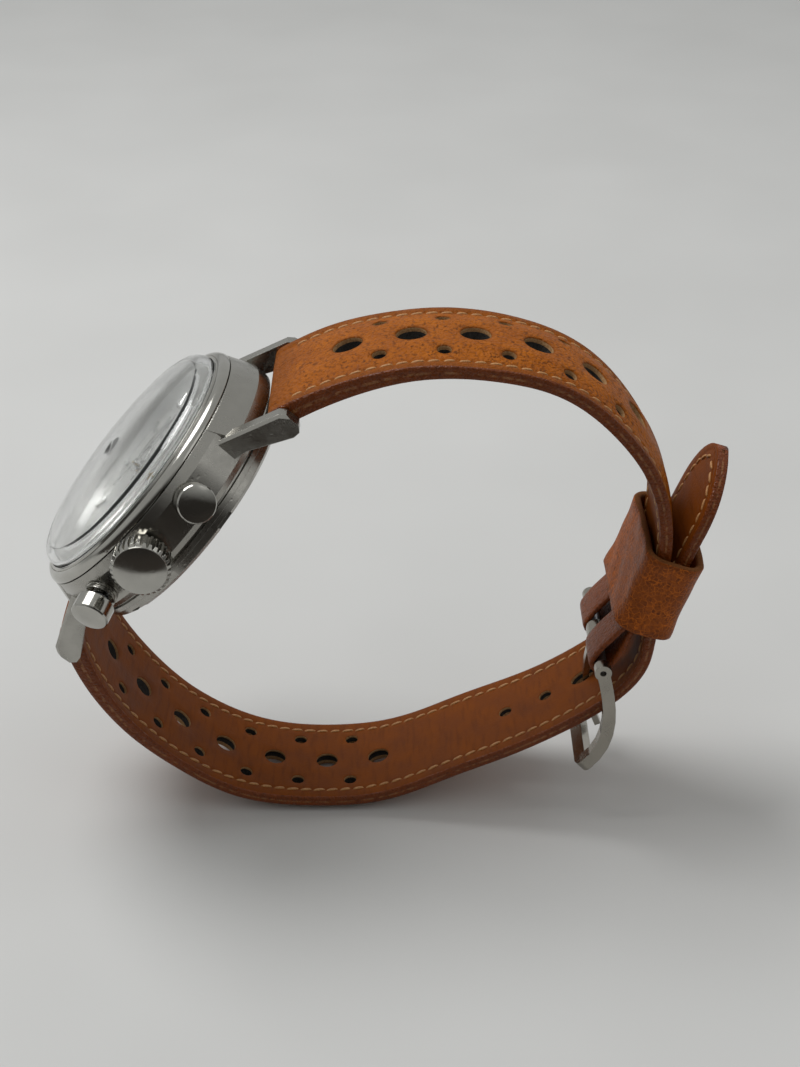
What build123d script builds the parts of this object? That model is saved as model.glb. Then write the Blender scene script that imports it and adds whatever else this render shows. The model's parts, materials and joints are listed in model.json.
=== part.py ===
from build123d import *
import math
import os

# Chronograph wristwatch on a perforated rally strap, millimetres.
#
# The head is drawn in its own watch frame: origin at the middle of the case back's
# outer face, +X to the crown at 3 o'clock, +Y to 12 o'clock, +Z out through the dial.
# worn() then tilts it about X, so that the dial leans back and the closed strap
# hangs in a loop towards +Y. The strap, keeper and buckle are drawn in that final frame.

os.makedirs("parts", exist_ok=True)

# ---- driving dimensions ----------------------------------------------------------
DIAL_TILT = 48.27            # degrees between the final vertical and the dial's normal

CASE_R = 19.5                # foot of the case side
CASE_BOTTOM_Z = 1.6          # case middle starts above the case back's flange
CASE_TOP_Z = 9.4             # seam between case middle and bezel
EDGE_R, EDGE_Z = 19.7, 7.95  # crisp edge between the case side and the slope up to the bezel
SHOULDER_R = 20.6            # the case is drawn out to this between the lugs
BORE_R = 16.4                # inside of the case middle
LUG_GAP = 20.3               # clear width between a pair of lugs
LUG_THICK = 2.1
LUG_TIP_Y = 24.3
BAR_Y = 22.4                 # spring bar axis
BAR_Z = 2.9
BAR_R = 0.75
BAR_TIP_R = 0.4

BACK_R = 18.2
BACK_PLUG_R = 16.85
BACK_FLOOR = 1.0

BEZEL_TOP_Z = 10.95
CRYSTAL_R = 17.5
CRYSTAL_APEX_Z = 14.6
CRYSTAL_WALL = 1.0

DIAL_R = 16.2
DIAL_Z = 7.95
DIAL_THICK = 0.4
DIAL_TOP = DIAL_Z + DIAL_THICK
SUBDIAL_X = 6.6
SUBDIAL_R = 4.1

CROWN_Z = 6.1                # stem and pushers lie in this plane
CROWN_R = 3.9
CROWN_END = 23.9             # radius of the crown's end face
CROWN_THICK = 3.6
CROWN_DOME = 12.0            # radius of the crown's domed end
PUSHER_DOME = 10.0           # radius of a pusher's domed end
CROWN_FLUTES = 30
CROWN_START = CROWN_END - CROWN_THICK
CROWN_TUBE_R = 1.5
CROWN_TUBE_BORE = 1.05
STEM_R = 0.6
PUSHER_ANGLE = 28.0
PUSHER_R = 2.55
PUSHER_END = 24.2
PUSHER_CAP = 2.7
PUSHER_BACK = PUSHER_END - PUSHER_CAP
PUSHER_STEM_R = 0.6
TUBE_R = 1.7
TUBE_BORE = 1.35

FIT = 0.03                   # radial clearance of every pivot and arbor

PLATE_R = 14.6
PLATE_BOTTOM = 6.4
PLATE_TOP = 7.8
BRIDGE_Z = 2.9
BRIDGE_THICK = 0.5

STRAP_LUG_WIDTH = 20.0
STRAP_BUCKLE_WIDTH = 16.0


def worn_point(y, z):
    """Final (y, z) of a point given in the watch frame."""
    tilt = math.radians(DIAL_TILT)
    return (y * math.cos(tilt) - z * math.sin(tilt), y * math.sin(tilt) + z * math.cos(tilt))


BAR_12 = worn_point(BAR_Y, BAR_Z)
BAR_6 = worn_point(-BAR_Y, BAR_Z)
HINGE = (56.4, -20.5)

# Middle of each strap half in (y, z), from its spring bar to its free end.
UPPER_ROUTE = [
    BAR_12,
    (21.7, 22.9),
    (33.7, 24.9),
    (48.1, 22.4),
    (59.6, 12.6),
    (63.7, 2.6),
    (63.9, -4.5),
    (60.6, -13.5),
    HINGE,
]
LOWER_ROUTE = [
    BAR_6,
    (-14.45, -23.3),
    (-6.45, -34.2),
    (3.5, -41.5),
    (13.95, -43.9),
    (25.0, -43.2),
    (37.0, -38.4),
    (49.4, -32.4),
    (58.2, -26.2),
    (62.3, -20.4),
    (63.2, -15.0),
    (65.0, -9.0),
    (67.3, -3.0),
    (70.1, 4.0),
    (71.9, 9.4),
]
TIP_LENGTH = 10.0            # the tail narrows to a rounded point over this length
HOLE_PITCH = 6.5             # adjustment holes in the tail
HOLES = 5
BUCKLED_HOLE = 90.5          # distance of the hole in use from the lower spring bar

KEEPER_CENTRE = (63.6, -9.07)
KEEPER_LEAN = 19.0           # degrees that the loop leans outward from upright
KEEPER_LENGTH = 11.6
KEEPER_SKIN = 1.1
KEEPER_WIDTH = 17.4
KEEPER_DEPTH = 6.0

BUCKLE_ROUTE = [HINGE, (57.55, -26.4), (57.35, -31.4), (54.5, -36.4)]
BUCKLE_HALF = 9.6            # middle of each side arm
BUCKLE_ARM = (1.7, 1.8)      # arm width across the strap, arm depth
BUCKLE_BAR = 1.9             # outer bar, along the arms
TONGUE_ROUTE = [(56.0, -21.7), (55.2, -25.4), (55.4, -30.0), (57.3, -36.2)]

# ---- helpers ---------------------------------------------------------------------


def worn(shape):
    """Tilt a shape from the watch frame into the final frame."""
    return Rot(X=DIAL_TILT) * shape


def save(name, shape):
    export_step(shape, f"parts/{name}.step")


def rod(radius, z0, z1, x=0.0, y=0.0):
    """Upright cylinder from z0 to z1."""
    return Pos(x, y, (z0 + z1) / 2) * Cylinder(radius, z1 - z0)


def washer(outer, inner, z0, z1, x=0.0, y=0.0):
    return rod(outer, z0, z1, x, y) - rod(inner, z0 - 1, z1 + 1, x, y)


def lathe(points):
    """Turn a closed (radius, z) outline about Z."""
    outline = Polyline(*[(r, 0, z) for r, z in points], close=True)
    return revolve(make_face(outline), axis=Axis.Z)


def along_x(shape):
    """Lay a part drawn along +Z over onto +X."""
    return Rot(Y=90) * shape


def domed(shape, top, radius):
    """Rounds the top end of a turned shape to part of a sphere."""
    return shape & Pos(0, 0, top - radius) * Rot(X=90) * Sphere(radius)


def radial(shape, angle):
    """Carry a part drawn along +X to its place in the stem plane."""
    return Pos(0, 0, CROWN_Z) * Rot(Z=angle) * shape


def bar(thick_from, thick_to, ends, radii):
    """Flat link: the hull of two discs, from one height to another."""
    (x0, y0), (x1, y1) = ends
    r0, r1 = radii
    length = math.hypot(x1 - x0, y1 - y0)
    heading = math.degrees(math.atan2(y1 - y0, x1 - x0))
    lean = math.asin((r0 - r1) / length)
    top = [(r0 * math.sin(lean), r0 * math.cos(lean))]
    top.append((length + r1 * math.sin(lean), r1 * math.cos(lean)))
    web = make_face(Polyline(*top, *[(x, -y) for x, y in reversed(top)], close=True))
    flat = web + Circle(r0) + Pos(length, 0) * Circle(r1)
    link = extrude(flat, thick_to - thick_from)
    return Pos(x0, y0, thick_from) * Rot(Z=heading) * link


def gear(teeth, pitch_r, z0, z1, centre, facing, gap=False):
    """Spur gear with a tooth, or a gap, pointing in the facing direction (degrees)."""
    module = 2 * pitch_r / teeth
    root_r = pitch_r - 1.05 * module
    tip_r = pitch_r + 0.75 * module
    pitch = 2 * math.pi / teeth
    start = math.radians(facing) + (pitch / 2 if gap else 0)
    points = []
    for i in range(teeth):
        middle = start + i * pitch
        for radius, share in ((root_r, -0.30), (tip_r, -0.11), (tip_r, 0.11), (root_r, 0.30)):
            angle = middle + share * pitch
            points.append((radius * math.cos(angle), radius * math.sin(angle)))
    face = make_face(Polyline(*points, close=True))
    return Pos(centre[0], centre[1], z0) * extrude(face, z1 - z0)


def windows(centre, z0, z1, inner, outer, spokes, spoke_width):
    """The openings between a wheel's spokes, as one cutter."""
    cutter = washer(outer, inner, z0 - 0.1, z1 + 0.1)
    for i in range(spokes):
        cutter -= Rot(Z=i * 360 / spokes) * Pos(outer / 2, 0, (z0 + z1) / 2) * Box(
            outer, spoke_width, z1 - z0 + 1
        )
    return Pos(centre[0], centre[1], 0) * cutter


def heading(start, end):
    return math.degrees(math.atan2(end[1] - start[1], end[0] - start[0]))


def step_from(point, distance, degrees):
    angle = math.radians(degrees)
    return (point[0] + distance * math.cos(angle), point[1] + distance * math.sin(angle))


def spiral(r_in, turns, pitch, width, z0, z1):
    """Flat coiled strip about Z."""
    steps = int(turns * 20)
    inner = []
    outer = []
    for i in range(steps + 1):
        angle = 2 * math.pi * turns * i / steps
        radius = r_in + pitch * angle / (2 * math.pi)
        inner.append((radius * math.cos(angle), radius * math.sin(angle)))
        outer.append(((radius + width) * math.cos(angle), (radius + width) * math.sin(angle)))
    strip = make_face(Polyline(*inner, *reversed(outer), close=True))
    return Pos(0, 0, z0) * extrude(strip, z1 - z0)


# ---- case ------------------------------------------------------------------------


def case_middle():
    round_body = lathe(
        [
            (16.9, CASE_BOTTOM_Z),
            (18.75, CASE_BOTTOM_Z),
            (18.75, 2.3),
            (18.35, 2.4),
            (18.35, 2.7),
            (18.95, 2.8),
            (CASE_R, 3.65),
            (EDGE_R, EDGE_Z),
            (19.25, CASE_TOP_Z),
            (BORE_R, CASE_TOP_Z),
            (BORE_R, 3.0),
            (16.9, 3.0),
        ]
    )
    shoulder = lathe(
        [(17.5, 3.65), (SHOULDER_R - 0.1, 3.65), (SHOULDER_R, 5.7), (19.3, 9.3), (17.5, 9.3)]
    )
    shoulder &= Pos(0, 0, 6) * Box(LUG_GAP + 2.4, 60, 20)
    body = round_body + shoulder
    for mirror_x in (1, -1):
        for mirror_y in (1, -1):
            body += lug(mirror_x, mirror_y)
    for angle in (PUSHER_ANGLE, -PUSHER_ANGLE):
        body -= radial(along_x(rod(TUBE_R, 15, 22) + rod(2.3, 19.55, 22)), angle)
    body -= radial(along_x(rod(CROWN_TUBE_R, 15, 22) + rod(CROWN_TUBE_R + 0.9, 19.1, 22)), 0)
    for y in (BAR_Y, -BAR_Y):
        body -= Pos(0, y, BAR_Z) * along_x(Cylinder(BAR_TIP_R + FIT, LUG_GAP + 2 * 1.3))
    return body


def lug(mirror_x, mirror_y):
    """One horn, drawn at 1 o'clock and mirrored to its corner."""
    side = [
        (13.3, 8.3),
        (LUG_TIP_Y - 0.6, 4.0),
        (LUG_TIP_Y, 3.2),
        (LUG_TIP_Y, 1.1),
        (LUG_TIP_Y - 0.7, 0.4),
        (LUG_TIP_Y - 1.7, 0.5),
        (17.0, 3.75),
        (13.3, 4.6),
    ]
    face = make_face(Polyline(*[(0, y, z) for y, z in side], close=True))
    inner_x = LUG_GAP / 2
    horn = Pos(inner_x, 0, 0) * extrude(face, LUG_THICK, dir=(1, 0, 0))
    outer_face = horn.faces().sort_by(Axis.X)[-1]
    top_edges = [e for e in outer_face.edges() if e.center().Z > 3.5 and e.center().Y > 16]
    horn = chamfer(top_edges, 0.4)
    if mirror_x < 0:
        horn = mirror(horn, about=Plane.YZ)
    if mirror_y < 0:
        horn = mirror(horn, about=Plane.XZ)
    return horn


def bezel():
    profile = [
        Polyline((17.95, 0, BEZEL_TOP_Z), (17.6, 0, BEZEL_TOP_Z), (17.6, 0, 9.72), (16.6, 0, 9.72)),
        Polyline((16.6, 0, 9.72), (16.6, 0, 9.45), (19.1, 0, 9.45), (19.25, 0, 9.6)),
        ThreePointArc((19.25, 0, 9.6), (19.0, 0, 10.3), (18.15, 0, 10.75)),
        Polyline((18.15, 0, 10.75), (18.08, 0, 10.62), (17.95, 0, BEZEL_TOP_Z)),
    ]
    return revolve(make_face(profile), axis=Axis.Z)


def crystal():
    """Thick domed shell: upright wall, rounded shoulder, shallow dome."""
    base_z = 9.75
    inner_r = CRYSTAL_R - CRYSTAL_WALL
    inner_apex = CRYSTAL_APEX_Z - CRYSTAL_WALL
    section = [
        Line((0, 0, inner_apex), (0, 0, CRYSTAL_APEX_Z)),
        TangentArc((0, 0, CRYSTAL_APEX_Z), (15.9, 0, 12.85), tangent=(1, 0, 0)),
        ThreePointArc((15.9, 0, 12.85), (16.95, 0, 12.45), (CRYSTAL_R, 0, 11.6)),
        Polyline((CRYSTAL_R, 0, 11.6), (CRYSTAL_R, 0, base_z), (inner_r, 0, base_z), (inner_r, 0, 11.1)),
        ThreePointArc((inner_r, 0, 11.1), (16.2, 0, 11.65), (15.5, 0, 11.9)),
        TangentArc((0, 0, inner_apex), (15.5, 0, 11.9), tangent=(1, 0, 0)),
    ]
    return revolve(make_face(section), axis=Axis.Z)


def caseback():
    plug_in = BACK_PLUG_R - 0.9
    back = lathe(
        [
            (0, 0),
            (17.5, 0),
            (BACK_R, 0.5),
            (BACK_R, 1.5),
            (BACK_PLUG_R, 1.5),
            (BACK_PLUG_R, 2.7),
            (plug_in, 2.7),
            (plug_in, BACK_FLOOR),
            (0, BACK_FLOOR),
        ]
    )
    for i in range(6):
        back -= Rot(Z=30 + 60 * i) * Pos(BACK_R, 0, 0.2) * Box(1.8, 2.6, 1.0)
    return back


# ---- crown and pushers -----------------------------------------------------------


def crown():
    """Coin-edged crown: fluted rim, domed end."""
    points = []
    for i in range(CROWN_FLUTES):
        for share, depth in ((-0.22, 0.0), (0.22, 0.0), (0.36, 0.4), (0.64, 0.4)):
            angle = 2 * math.pi * (i + share) / CROWN_FLUTES
            radius = CROWN_R - depth
            points.append((radius * math.cos(angle), radius * math.sin(angle)))
    fluted = extrude(make_face(Polyline(*points, close=True)), CROWN_THICK)
    envelope = lathe(
        [
            (0, 0),
            (CROWN_R - 0.7, 0),
            (CROWN_R, 0.5),
            (CROWN_R, CROWN_THICK - 1.0),
            (CROWN_R - 0.45, CROWN_THICK - 0.6),
            (CROWN_R - 0.45, CROWN_THICK),
            (0, CROWN_THICK),
        ]
    )
    body = domed(fluted & envelope, CROWN_THICK, CROWN_DOME)
    body -= rod(CROWN_TUBE_R + 0.35, -1, 2.1)
    body -= rod(STEM_R, -1, 2.9)
    return radial(Pos(CROWN_START, 0, 0) * along_x(body), 0)


def winding_stem():
    stem = rod(STEM_R, 9.3, CROWN_START + 2.9)
    stem -= washer(STEM_R + 1, 0.35, 11.0, 11.5)
    return radial(along_x(stem), 0)


def crown_gasket():
    inner = CROWN_TUBE_R + 0.02
    ring = washer(CROWN_TUBE_R + 0.35, inner, CROWN_START + 1.5, CROWN_START + 2.1)
    return radial(along_x(ring), 0)


def crown_tube():
    tube = washer(CROWN_TUBE_R, CROWN_TUBE_BORE, 16.5, CROWN_START + 1.2)
    return radial(along_x(tube), 0)


def setting_lever():
    """Flat lever under the stem whose post rides in the stem's groove."""
    plate = Pos(10.7, 0.5, 4.9) * Box(3.0, 2.4, 0.4)
    return plate + rod(0.2, 5.0, 5.7, 11.25, 0)


def pusher(angle):
    cap = lathe(
        [
            (0, PUSHER_BACK + 0.4),
            (1.75, PUSHER_BACK + 0.4),
            (1.75, PUSHER_BACK),
            (PUSHER_R - 0.1, PUSHER_BACK),
            (PUSHER_R, PUSHER_BACK + 0.1),
            (PUSHER_R, PUSHER_END - 0.5),
            (PUSHER_R - 0.15, PUSHER_END - 0.3),
            (PUSHER_R - 0.15, PUSHER_END),
            (0, PUSHER_END),
        ]
    )
    cap = domed(cap, PUSHER_END, PUSHER_DOME)
    stem = rod(PUSHER_STEM_R, 15.95, PUSHER_BACK + 0.5)
    stem -= washer(PUSHER_STEM_R + 1, 0.42, 16.4, 16.7)
    return radial(along_x(cap + stem), angle)


def pusher_tube(angle):
    """Tube pressed in the case: flanged mouth outside, small guide hole inside."""
    tube = lathe(
        [
            (PUSHER_STEM_R + FIT, 17.0),
            (TUBE_R, 17.0),
            (TUBE_R, 19.55),
            (2.15, 19.55),
            (2.15, 19.9),
            (1.9, 20.0),
            (1.9, 20.15),
            (2.15, 20.25),
            (2.15, 20.5),
            (TUBE_BORE, 20.5),
            (TUBE_BORE, 17.6),
            (PUSHER_STEM_R + FIT, 17.6),
        ]
    )
    return radial(along_x(tube), angle)


def pusher_spring(angle):
    wire_r = 0.11
    coil_r = 1.0
    low = 17.6 + wire_r + 0.02
    high = PUSHER_BACK + 0.4 - wire_r - 0.02
    path = Helix(pitch=(high - low) / 6, height=high - low, radius=coil_r)
    section = Plane(path @ 0, z_dir=path % 0) * Circle(wire_r)
    coil = Pos(0, 0, low) * sweep(section, path=path, is_frenet=True)
    return radial(along_x(coil), angle)


def pusher_clip(angle):
    ring = washer(1.05, 0.42, 16.43, 16.67)
    ring -= Pos(0.8, 0, 16.5) * Box(1.6, 0.6, 1)
    return radial(along_x(ring), angle)


# ---- dial side -------------------------------------------------------------------


def dial():
    plate = rod(DIAL_R, DIAL_Z, DIAL_TOP) - rod(1.0, DIAL_Z - 1, DIAL_TOP + 1)
    for x in (SUBDIAL_X, -SUBDIAL_X):
        plate -= rod(SUBDIAL_R - 0.15, DIAL_TOP - 0.1, DIAL_TOP + 1, x)
        plate -= rod(0.35, DIAL_Z - 1, DIAL_TOP + 1, x)
    return plate


def subdial_rings():
    rings = [
        washer(SUBDIAL_R + 0.1, SUBDIAL_R - 0.15, DIAL_TOP, DIAL_TOP + 0.12, x)
        for x in (SUBDIAL_X, -SUBDIAL_X)
    ]
    return Compound(rings)


def hour_markers():
    """Twelve applied batons, the one at 12 twice as wide."""
    markers = []
    for hour in range(12):
        width = 1.5 if hour == 0 else 0.75
        baton = Pos(0, 13.2, DIAL_TOP + 0.2) * Box(width, 2.6, 0.4)
        baton = chamfer(baton.faces().sort_by(Axis.Z)[-1].edges(), 0.12)
        markers.append(Rot(Z=-30 * hour) * baton)
    return Compound(markers)


def flange_ring():
    """Sloping inner ring between dial and crystal."""
    return lathe([(16.3, DIAL_TOP + 0.02), (16.3, 9.7), (15.95, 9.7), (15.1, DIAL_TOP + 0.02)])


def tension_ring():
    return lathe([(16.45, 9.75), (16.45, 10.9), (16.2, 10.9), (15.75, 9.75)])


def hand(length, tail, root_width, tip_width, z, thick, hub_r, bore_r, angle):
    """Baton hand with a round hub; angle runs clockwise from 12."""
    outline = [
        (-root_width / 2, -tail),
        (root_width / 2, -tail),
        (root_width / 2, length * 0.86),
        (tip_width / 2, length),
        (-tip_width / 2, length),
        (-root_width / 2, length * 0.86),
    ]
    blade = extrude(make_face(Polyline(*outline, close=True)), thick)
    blade += rod(hub_r, 0, thick + 0.05)
    if bore_r:
        blade -= rod(bore_r, -1, 2)
    return Pos(0, 0, z) * Rot(Z=-angle) * blade


# ---- movement --------------------------------------------------------------------

CENTRE = (0.0, 0.0)
FOURTH = (-SUBDIAL_X, 0.0)
COUNTER = (SUBDIAL_X, 0.0)

CENTRE_TEETH, THIRD_PINION = 80, 10
THIRD_TEETH, FOURTH_PINION = 75, 10
FOURTH_TEETH, ESCAPE_PINION = 80, 8
BARREL_TEETH, CENTRE_PINION = 84, 12
CENTRE_WHEEL_R = 4.0
THIRD_WHEEL_R = 3.75
FOURTH_WHEEL_R = 3.6
BARREL_GEAR_R = 5.46

THIRD_PINION_R = CENTRE_WHEEL_R * THIRD_PINION / CENTRE_TEETH
FOURTH_PINION_R = THIRD_WHEEL_R * FOURTH_PINION / THIRD_TEETH
ESCAPE_PINION_R = FOURTH_WHEEL_R * ESCAPE_PINION / FOURTH_TEETH
CENTRE_PINION_R = BARREL_GEAR_R * CENTRE_PINION / BARREL_TEETH

TO_THIRD = CENTRE_WHEEL_R + THIRD_PINION_R
TO_FOURTH = THIRD_WHEEL_R + FOURTH_PINION_R
third_x = -(TO_THIRD**2 - TO_FOURTH**2 + SUBDIAL_X**2) / (2 * SUBDIAL_X)
THIRD = (third_x, -math.sqrt(TO_THIRD**2 - third_x**2))
ESCAPE = step_from(FOURTH, FOURTH_WHEEL_R + ESCAPE_PINION_R, 250)
BARREL = step_from(CENTRE, BARREL_GEAR_R + CENTRE_PINION_R, 60)
BALANCE = (-4.3, -9.2)
BALANCE_R = 3.7
ESCAPE_WHEEL_R = 1.9
PALLET = step_from(ESCAPE, 2.35, heading(ESCAPE, BALANCE))

CANNON_TEETH, MINUTE_TEETH = 12, 36
MINUTE_PINION, HOUR_TEETH = 10, 40
CANNON_R = 0.72
MINUTE_WHEEL_R = CANNON_R * MINUTE_TEETH / CANNON_TEETH
MOTION_GAP = CANNON_R + MINUTE_WHEEL_R
MINUTE_PINION_R = MOTION_GAP * MINUTE_PINION / (MINUTE_PINION + HOUR_TEETH)
HOUR_WHEEL_R = MOTION_GAP - MINUTE_PINION_R
MINUTE_WHEEL = (0.0, -MOTION_GAP)

RUNNER_R = 0.16
CENTRE_ARBOR_R = 0.34
CANNON_PIPE_R = 0.55
HOUR_PIPE_R = 0.8
PIVOT_R = 0.15
START_PIVOT = (6.5, 11.5)
LEVER_TAB = step_from((0.0, 0.0), 15.25, PUSHER_ANGLE)
TAB_TOP = 6.8
PILLARS = [(-11.3, 4.6), (8.5, -6.0), (10.4, 8.0), (-6.0, 9.8)]
COCK_FOOT = (0.9, -11.6)


def tab_clearance(z0, z1):
    """Room in plate and ring for the two lever tabs to swing."""
    return [
        rod(1.75, z0, z1, LEVER_TAB[0] - 0.3, side * (LEVER_TAB[1] - 0.45)) for side in (1, -1)
    ]


def mainplate():
    plate = rod(PLATE_R, PLATE_BOTTOM, PLATE_TOP)
    plate -= rod(3.0, 6.85, PLATE_TOP + 1)
    plate -= rod(2.6, 6.85, PLATE_TOP + 1, *MINUTE_WHEEL)
    plate -= rod(CENTRE_ARBOR_R + FIT, 5, 8)
    for spot in (FOURTH, COUNTER):
        plate -= rod(RUNNER_R + FIT, 5, 8, *spot)
    for spot in (THIRD, ESCAPE, BALANCE, PALLET):
        plate -= rod(PIVOT_R + FIT, PLATE_BOTTOM - 1, PLATE_BOTTOM + 0.3, *spot)
    plate -= rod(0.5 + FIT, PLATE_BOTTOM - 1, PLATE_BOTTOM + 0.5, *BARREL)
    for spot in PILLARS:
        plate += rod(0.85, BRIDGE_Z + BRIDGE_THICK, PLATE_BOTTOM + 0.1, *spot)
        plate -= rod(0.35, BRIDGE_Z, PLATE_BOTTOM - 0.8, *spot)
    plate += rod(0.25, 6.8, 7.5, *MINUTE_WHEEL)
    plate -= radial(along_x(rod(0.85, 8.8, 16)), 0)
    for room in tab_clearance(PLATE_BOTTOM - 1, TAB_TOP + 0.2):
        plate -= room
    return plate


def train_bridge():
    top = BRIDGE_Z + BRIDGE_THICK
    plate = rod(PLATE_R - 0.2, BRIDGE_Z, top)
    plate -= rod(BALANCE_R + 0.2, BRIDGE_Z - 1, top + 1, *BALANCE)
    plate -= Pos(BALANCE[0], BALANCE[1] - 6, BRIDGE_Z) * Box(2 * BALANCE_R + 0.4, 12, 4)
    plate -= rod(1.55, BRIDGE_Z - 1, top + 1, *COCK_FOOT)
    plate -= rod(RUNNER_R + 0.1, 2, 4)
    plate -= rod(RUNNER_R + 0.1, 2, 4, *COUNTER)
    for spot in (THIRD, FOURTH, ESCAPE, PALLET):
        plate -= rod(PIVOT_R + FIT, top - 0.3, top + 1, *spot)
    plate -= rod(0.5 + FIT, 2, 4, *BARREL)
    for spot in PILLARS:
        plate -= rod(0.36, 2, 4, *spot)
    for side in (1, -1):
        plate -= rod(0.3, 2, 4, START_PIVOT[0], side * START_PIVOT[1])
    for room in tab_clearance(BRIDGE_Z - 1, top + 1):
        plate -= room
    return plate


def bridge_screws():
    screws = []
    for x, y in PILLARS:
        screw = rod(0.75, BRIDGE_Z - 0.35, BRIDGE_Z, x, y) + rod(0.33, BRIDGE_Z - 0.1, 5.4, x, y)
        screw -= Pos(x, y, BRIDGE_Z - 0.35) * Box(2, 0.18, 0.3)
        screws.append(screw)
    return Compound(screws)


def movement_ring():
    ring = washer(BORE_R - 0.1, PLATE_R + 0.1, BRIDGE_Z, DIAL_Z)
    ring -= radial(along_x(rod(0.85, 13, 18)), 0)
    for angle in (PUSHER_ANGLE, -PUSHER_ANGLE):
        ring -= radial(along_x(rod(1.2, 13, 18)), angle)
    for room in tab_clearance(BRIDGE_Z - 1, TAB_TOP + 0.2):
        ring -= room
    return ring


def barrel():
    drum = rod(5.2, 3.75, 5.25, *BARREL) - rod(4.95, 3.95, 5.1, *BARREL)
    drum += gear(BARREL_TEETH, BARREL_GEAR_R, 5.2, 5.55, BARREL, heading(BARREL, CENTRE))
    return drum - rod(0.8 + FIT, 3, 6, *BARREL)


def mainspring():
    return Pos(BARREL[0], BARREL[1], 0) * spiral(1.5, 9, 0.34, 0.1, 4.05, 5.0)


def barrel_arbor():
    arbor = rod(0.8, 3.5, 5.8, *BARREL) + rod(0.5, 2.35, 6.85, *BARREL)
    ratchet = gear(36, 3.0, 2.3, 2.6, BARREL, 0)
    return arbor + ratchet


def wheel(teeth, radius, z0, z1, centre, facing, spokes=4):
    blank = gear(teeth, radius, z0, z1, centre, facing)
    return blank - windows(centre, z0, z1, 0.22 * radius + 0.35, 0.82 * radius, spokes, 0.45)


def centre_wheel():
    body = wheel(CENTRE_TEETH, CENTRE_WHEEL_R, 5.8, 6.05, CENTRE, heading(CENTRE, THIRD))
    body += gear(CENTRE_PINION, CENTRE_PINION_R, 4.9, 5.7, CENTRE, heading(CENTRE, BARREL), True)
    body += rod(CENTRE_ARBOR_R, 3.6, 7.9)
    return body - rod(RUNNER_R + FIT, 3, 9)


def third_wheel():
    body = wheel(THIRD_TEETH, THIRD_WHEEL_R, 4.2, 4.45, THIRD, heading(THIRD, FOURTH))
    body += gear(THIRD_PINION, THIRD_PINION_R, 5.65, 6.2, THIRD, heading(THIRD, CENTRE), True)
    body += rod(0.28, 3.5, 6.3, *THIRD)
    return body + rod(PIVOT_R, 3.15, 6.65, *THIRD)


def fourth_wheel():
    body = wheel(FOURTH_TEETH, FOURTH_WHEEL_R, 5.2, 5.45, FOURTH, heading(FOURTH, ESCAPE))
    body += gear(FOURTH_PINION, FOURTH_PINION_R, 4.0, 4.7, FOURTH, heading(FOURTH, THIRD), True)
    body += rod(0.28, 3.5, 6.3, *FOURTH)
    return body + rod(PIVOT_R, 3.15, 8.75, *FOURTH)


def escape_wheel():
    points = []
    for i in range(15):
        for radius, share in ((1.3, 0.12), (ESCAPE_WHEEL_R, 0.0), (1.75, 0.06), (1.3, 0.3)):
            angle = 2 * math.pi * (i + share) / 15
            points.append((radius * math.cos(angle), radius * math.sin(angle)))
    disc = Pos(ESCAPE[0], ESCAPE[1], 3.58) * extrude(make_face(Polyline(*points, close=True)), 0.2)
    disc -= windows(ESCAPE, 3.58, 3.78, 0.45, 1.05, 4, 0.22)
    pinion = gear(ESCAPE_PINION, ESCAPE_PINION_R, 5.05, 5.6, ESCAPE, heading(ESCAPE, FOURTH), True)
    return disc + pinion + rod(0.22, 3.5, 6.3, *ESCAPE) + rod(PIVOT_R, 3.15, 6.65, *ESCAPE)


def pallet_fork():
    """Anchor with two arms beside the escape wheel and a forked lever to the balance."""
    toward = heading(PALLET, BALANCE)
    body = bar(3.58, 3.78, (PALLET, step_from(PALLET, 2.0, toward)), (0.32, 0.16))
    for side in (1, -1):
        arm_end = step_from(PALLET, 1.55, toward + side * 97)
        body += bar(3.58, 3.78, (PALLET, arm_end), (0.3, 0.14))
    horn = step_from(PALLET, 2.05, toward)
    body += Pos(horn[0], horn[1], 3.68) * Rot(Z=toward) * Box(0.3, 0.9, 0.2)
    body += rod(0.22, 3.5, 6.3, *PALLET)
    return body + rod(PIVOT_R, 3.15, 6.65, *PALLET)


def balance_wheel():
    rim = washer(BALANCE_R, BALANCE_R - 0.4, 2.65, 3.1, *BALANCE)
    rim += Pos(BALANCE[0], BALANCE[1], 2.85) * Box(2 * BALANCE_R - 0.4, 0.4, 0.2)
    rim += rod(0.55, 2.65, 3.1, *BALANCE) + rod(0.75, 3.3, 3.5, *BALANCE)
    rim += rod(0.25, 2.5, 6.3, *BALANCE) + rod(PIVOT_R, 2.0, 6.65, *BALANCE)
    return rim


def hairspring():
    return Pos(BALANCE[0], BALANCE[1], 0) * spiral(0.6, 8, 0.2, 0.06, 2.45, 2.58)


def balance_cock():
    arm = bar(1.75, 2.35, (COCK_FOOT, BALANCE), (1.35, 1.1))
    arm -= rod(PIVOT_R + FIT, 1.95, 3, *BALANCE)
    return arm + rod(1.35, 2.3, PLATE_BOTTOM, *COCK_FOOT)


def cannon_pinion():
    body = gear(CANNON_TEETH, CANNON_R, 6.95, 7.3, CENTRE, -90, True)
    body += rod(CANNON_PIPE_R, 6.95, 9.85)
    return body - rod(CENTRE_ARBOR_R + FIT, 6, 8.0) - rod(RUNNER_R + 0.1, 6, 11)


def minute_wheel():
    body = gear(MINUTE_TEETH, MINUTE_WHEEL_R, 7.0, 7.2, MINUTE_WHEEL, 90)
    body += gear(MINUTE_PINION, MINUTE_PINION_R, 7.2, 7.75, MINUTE_WHEEL, 90, True)
    return body - rod(0.25 + FIT, 6, 9, *MINUTE_WHEEL)


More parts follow.
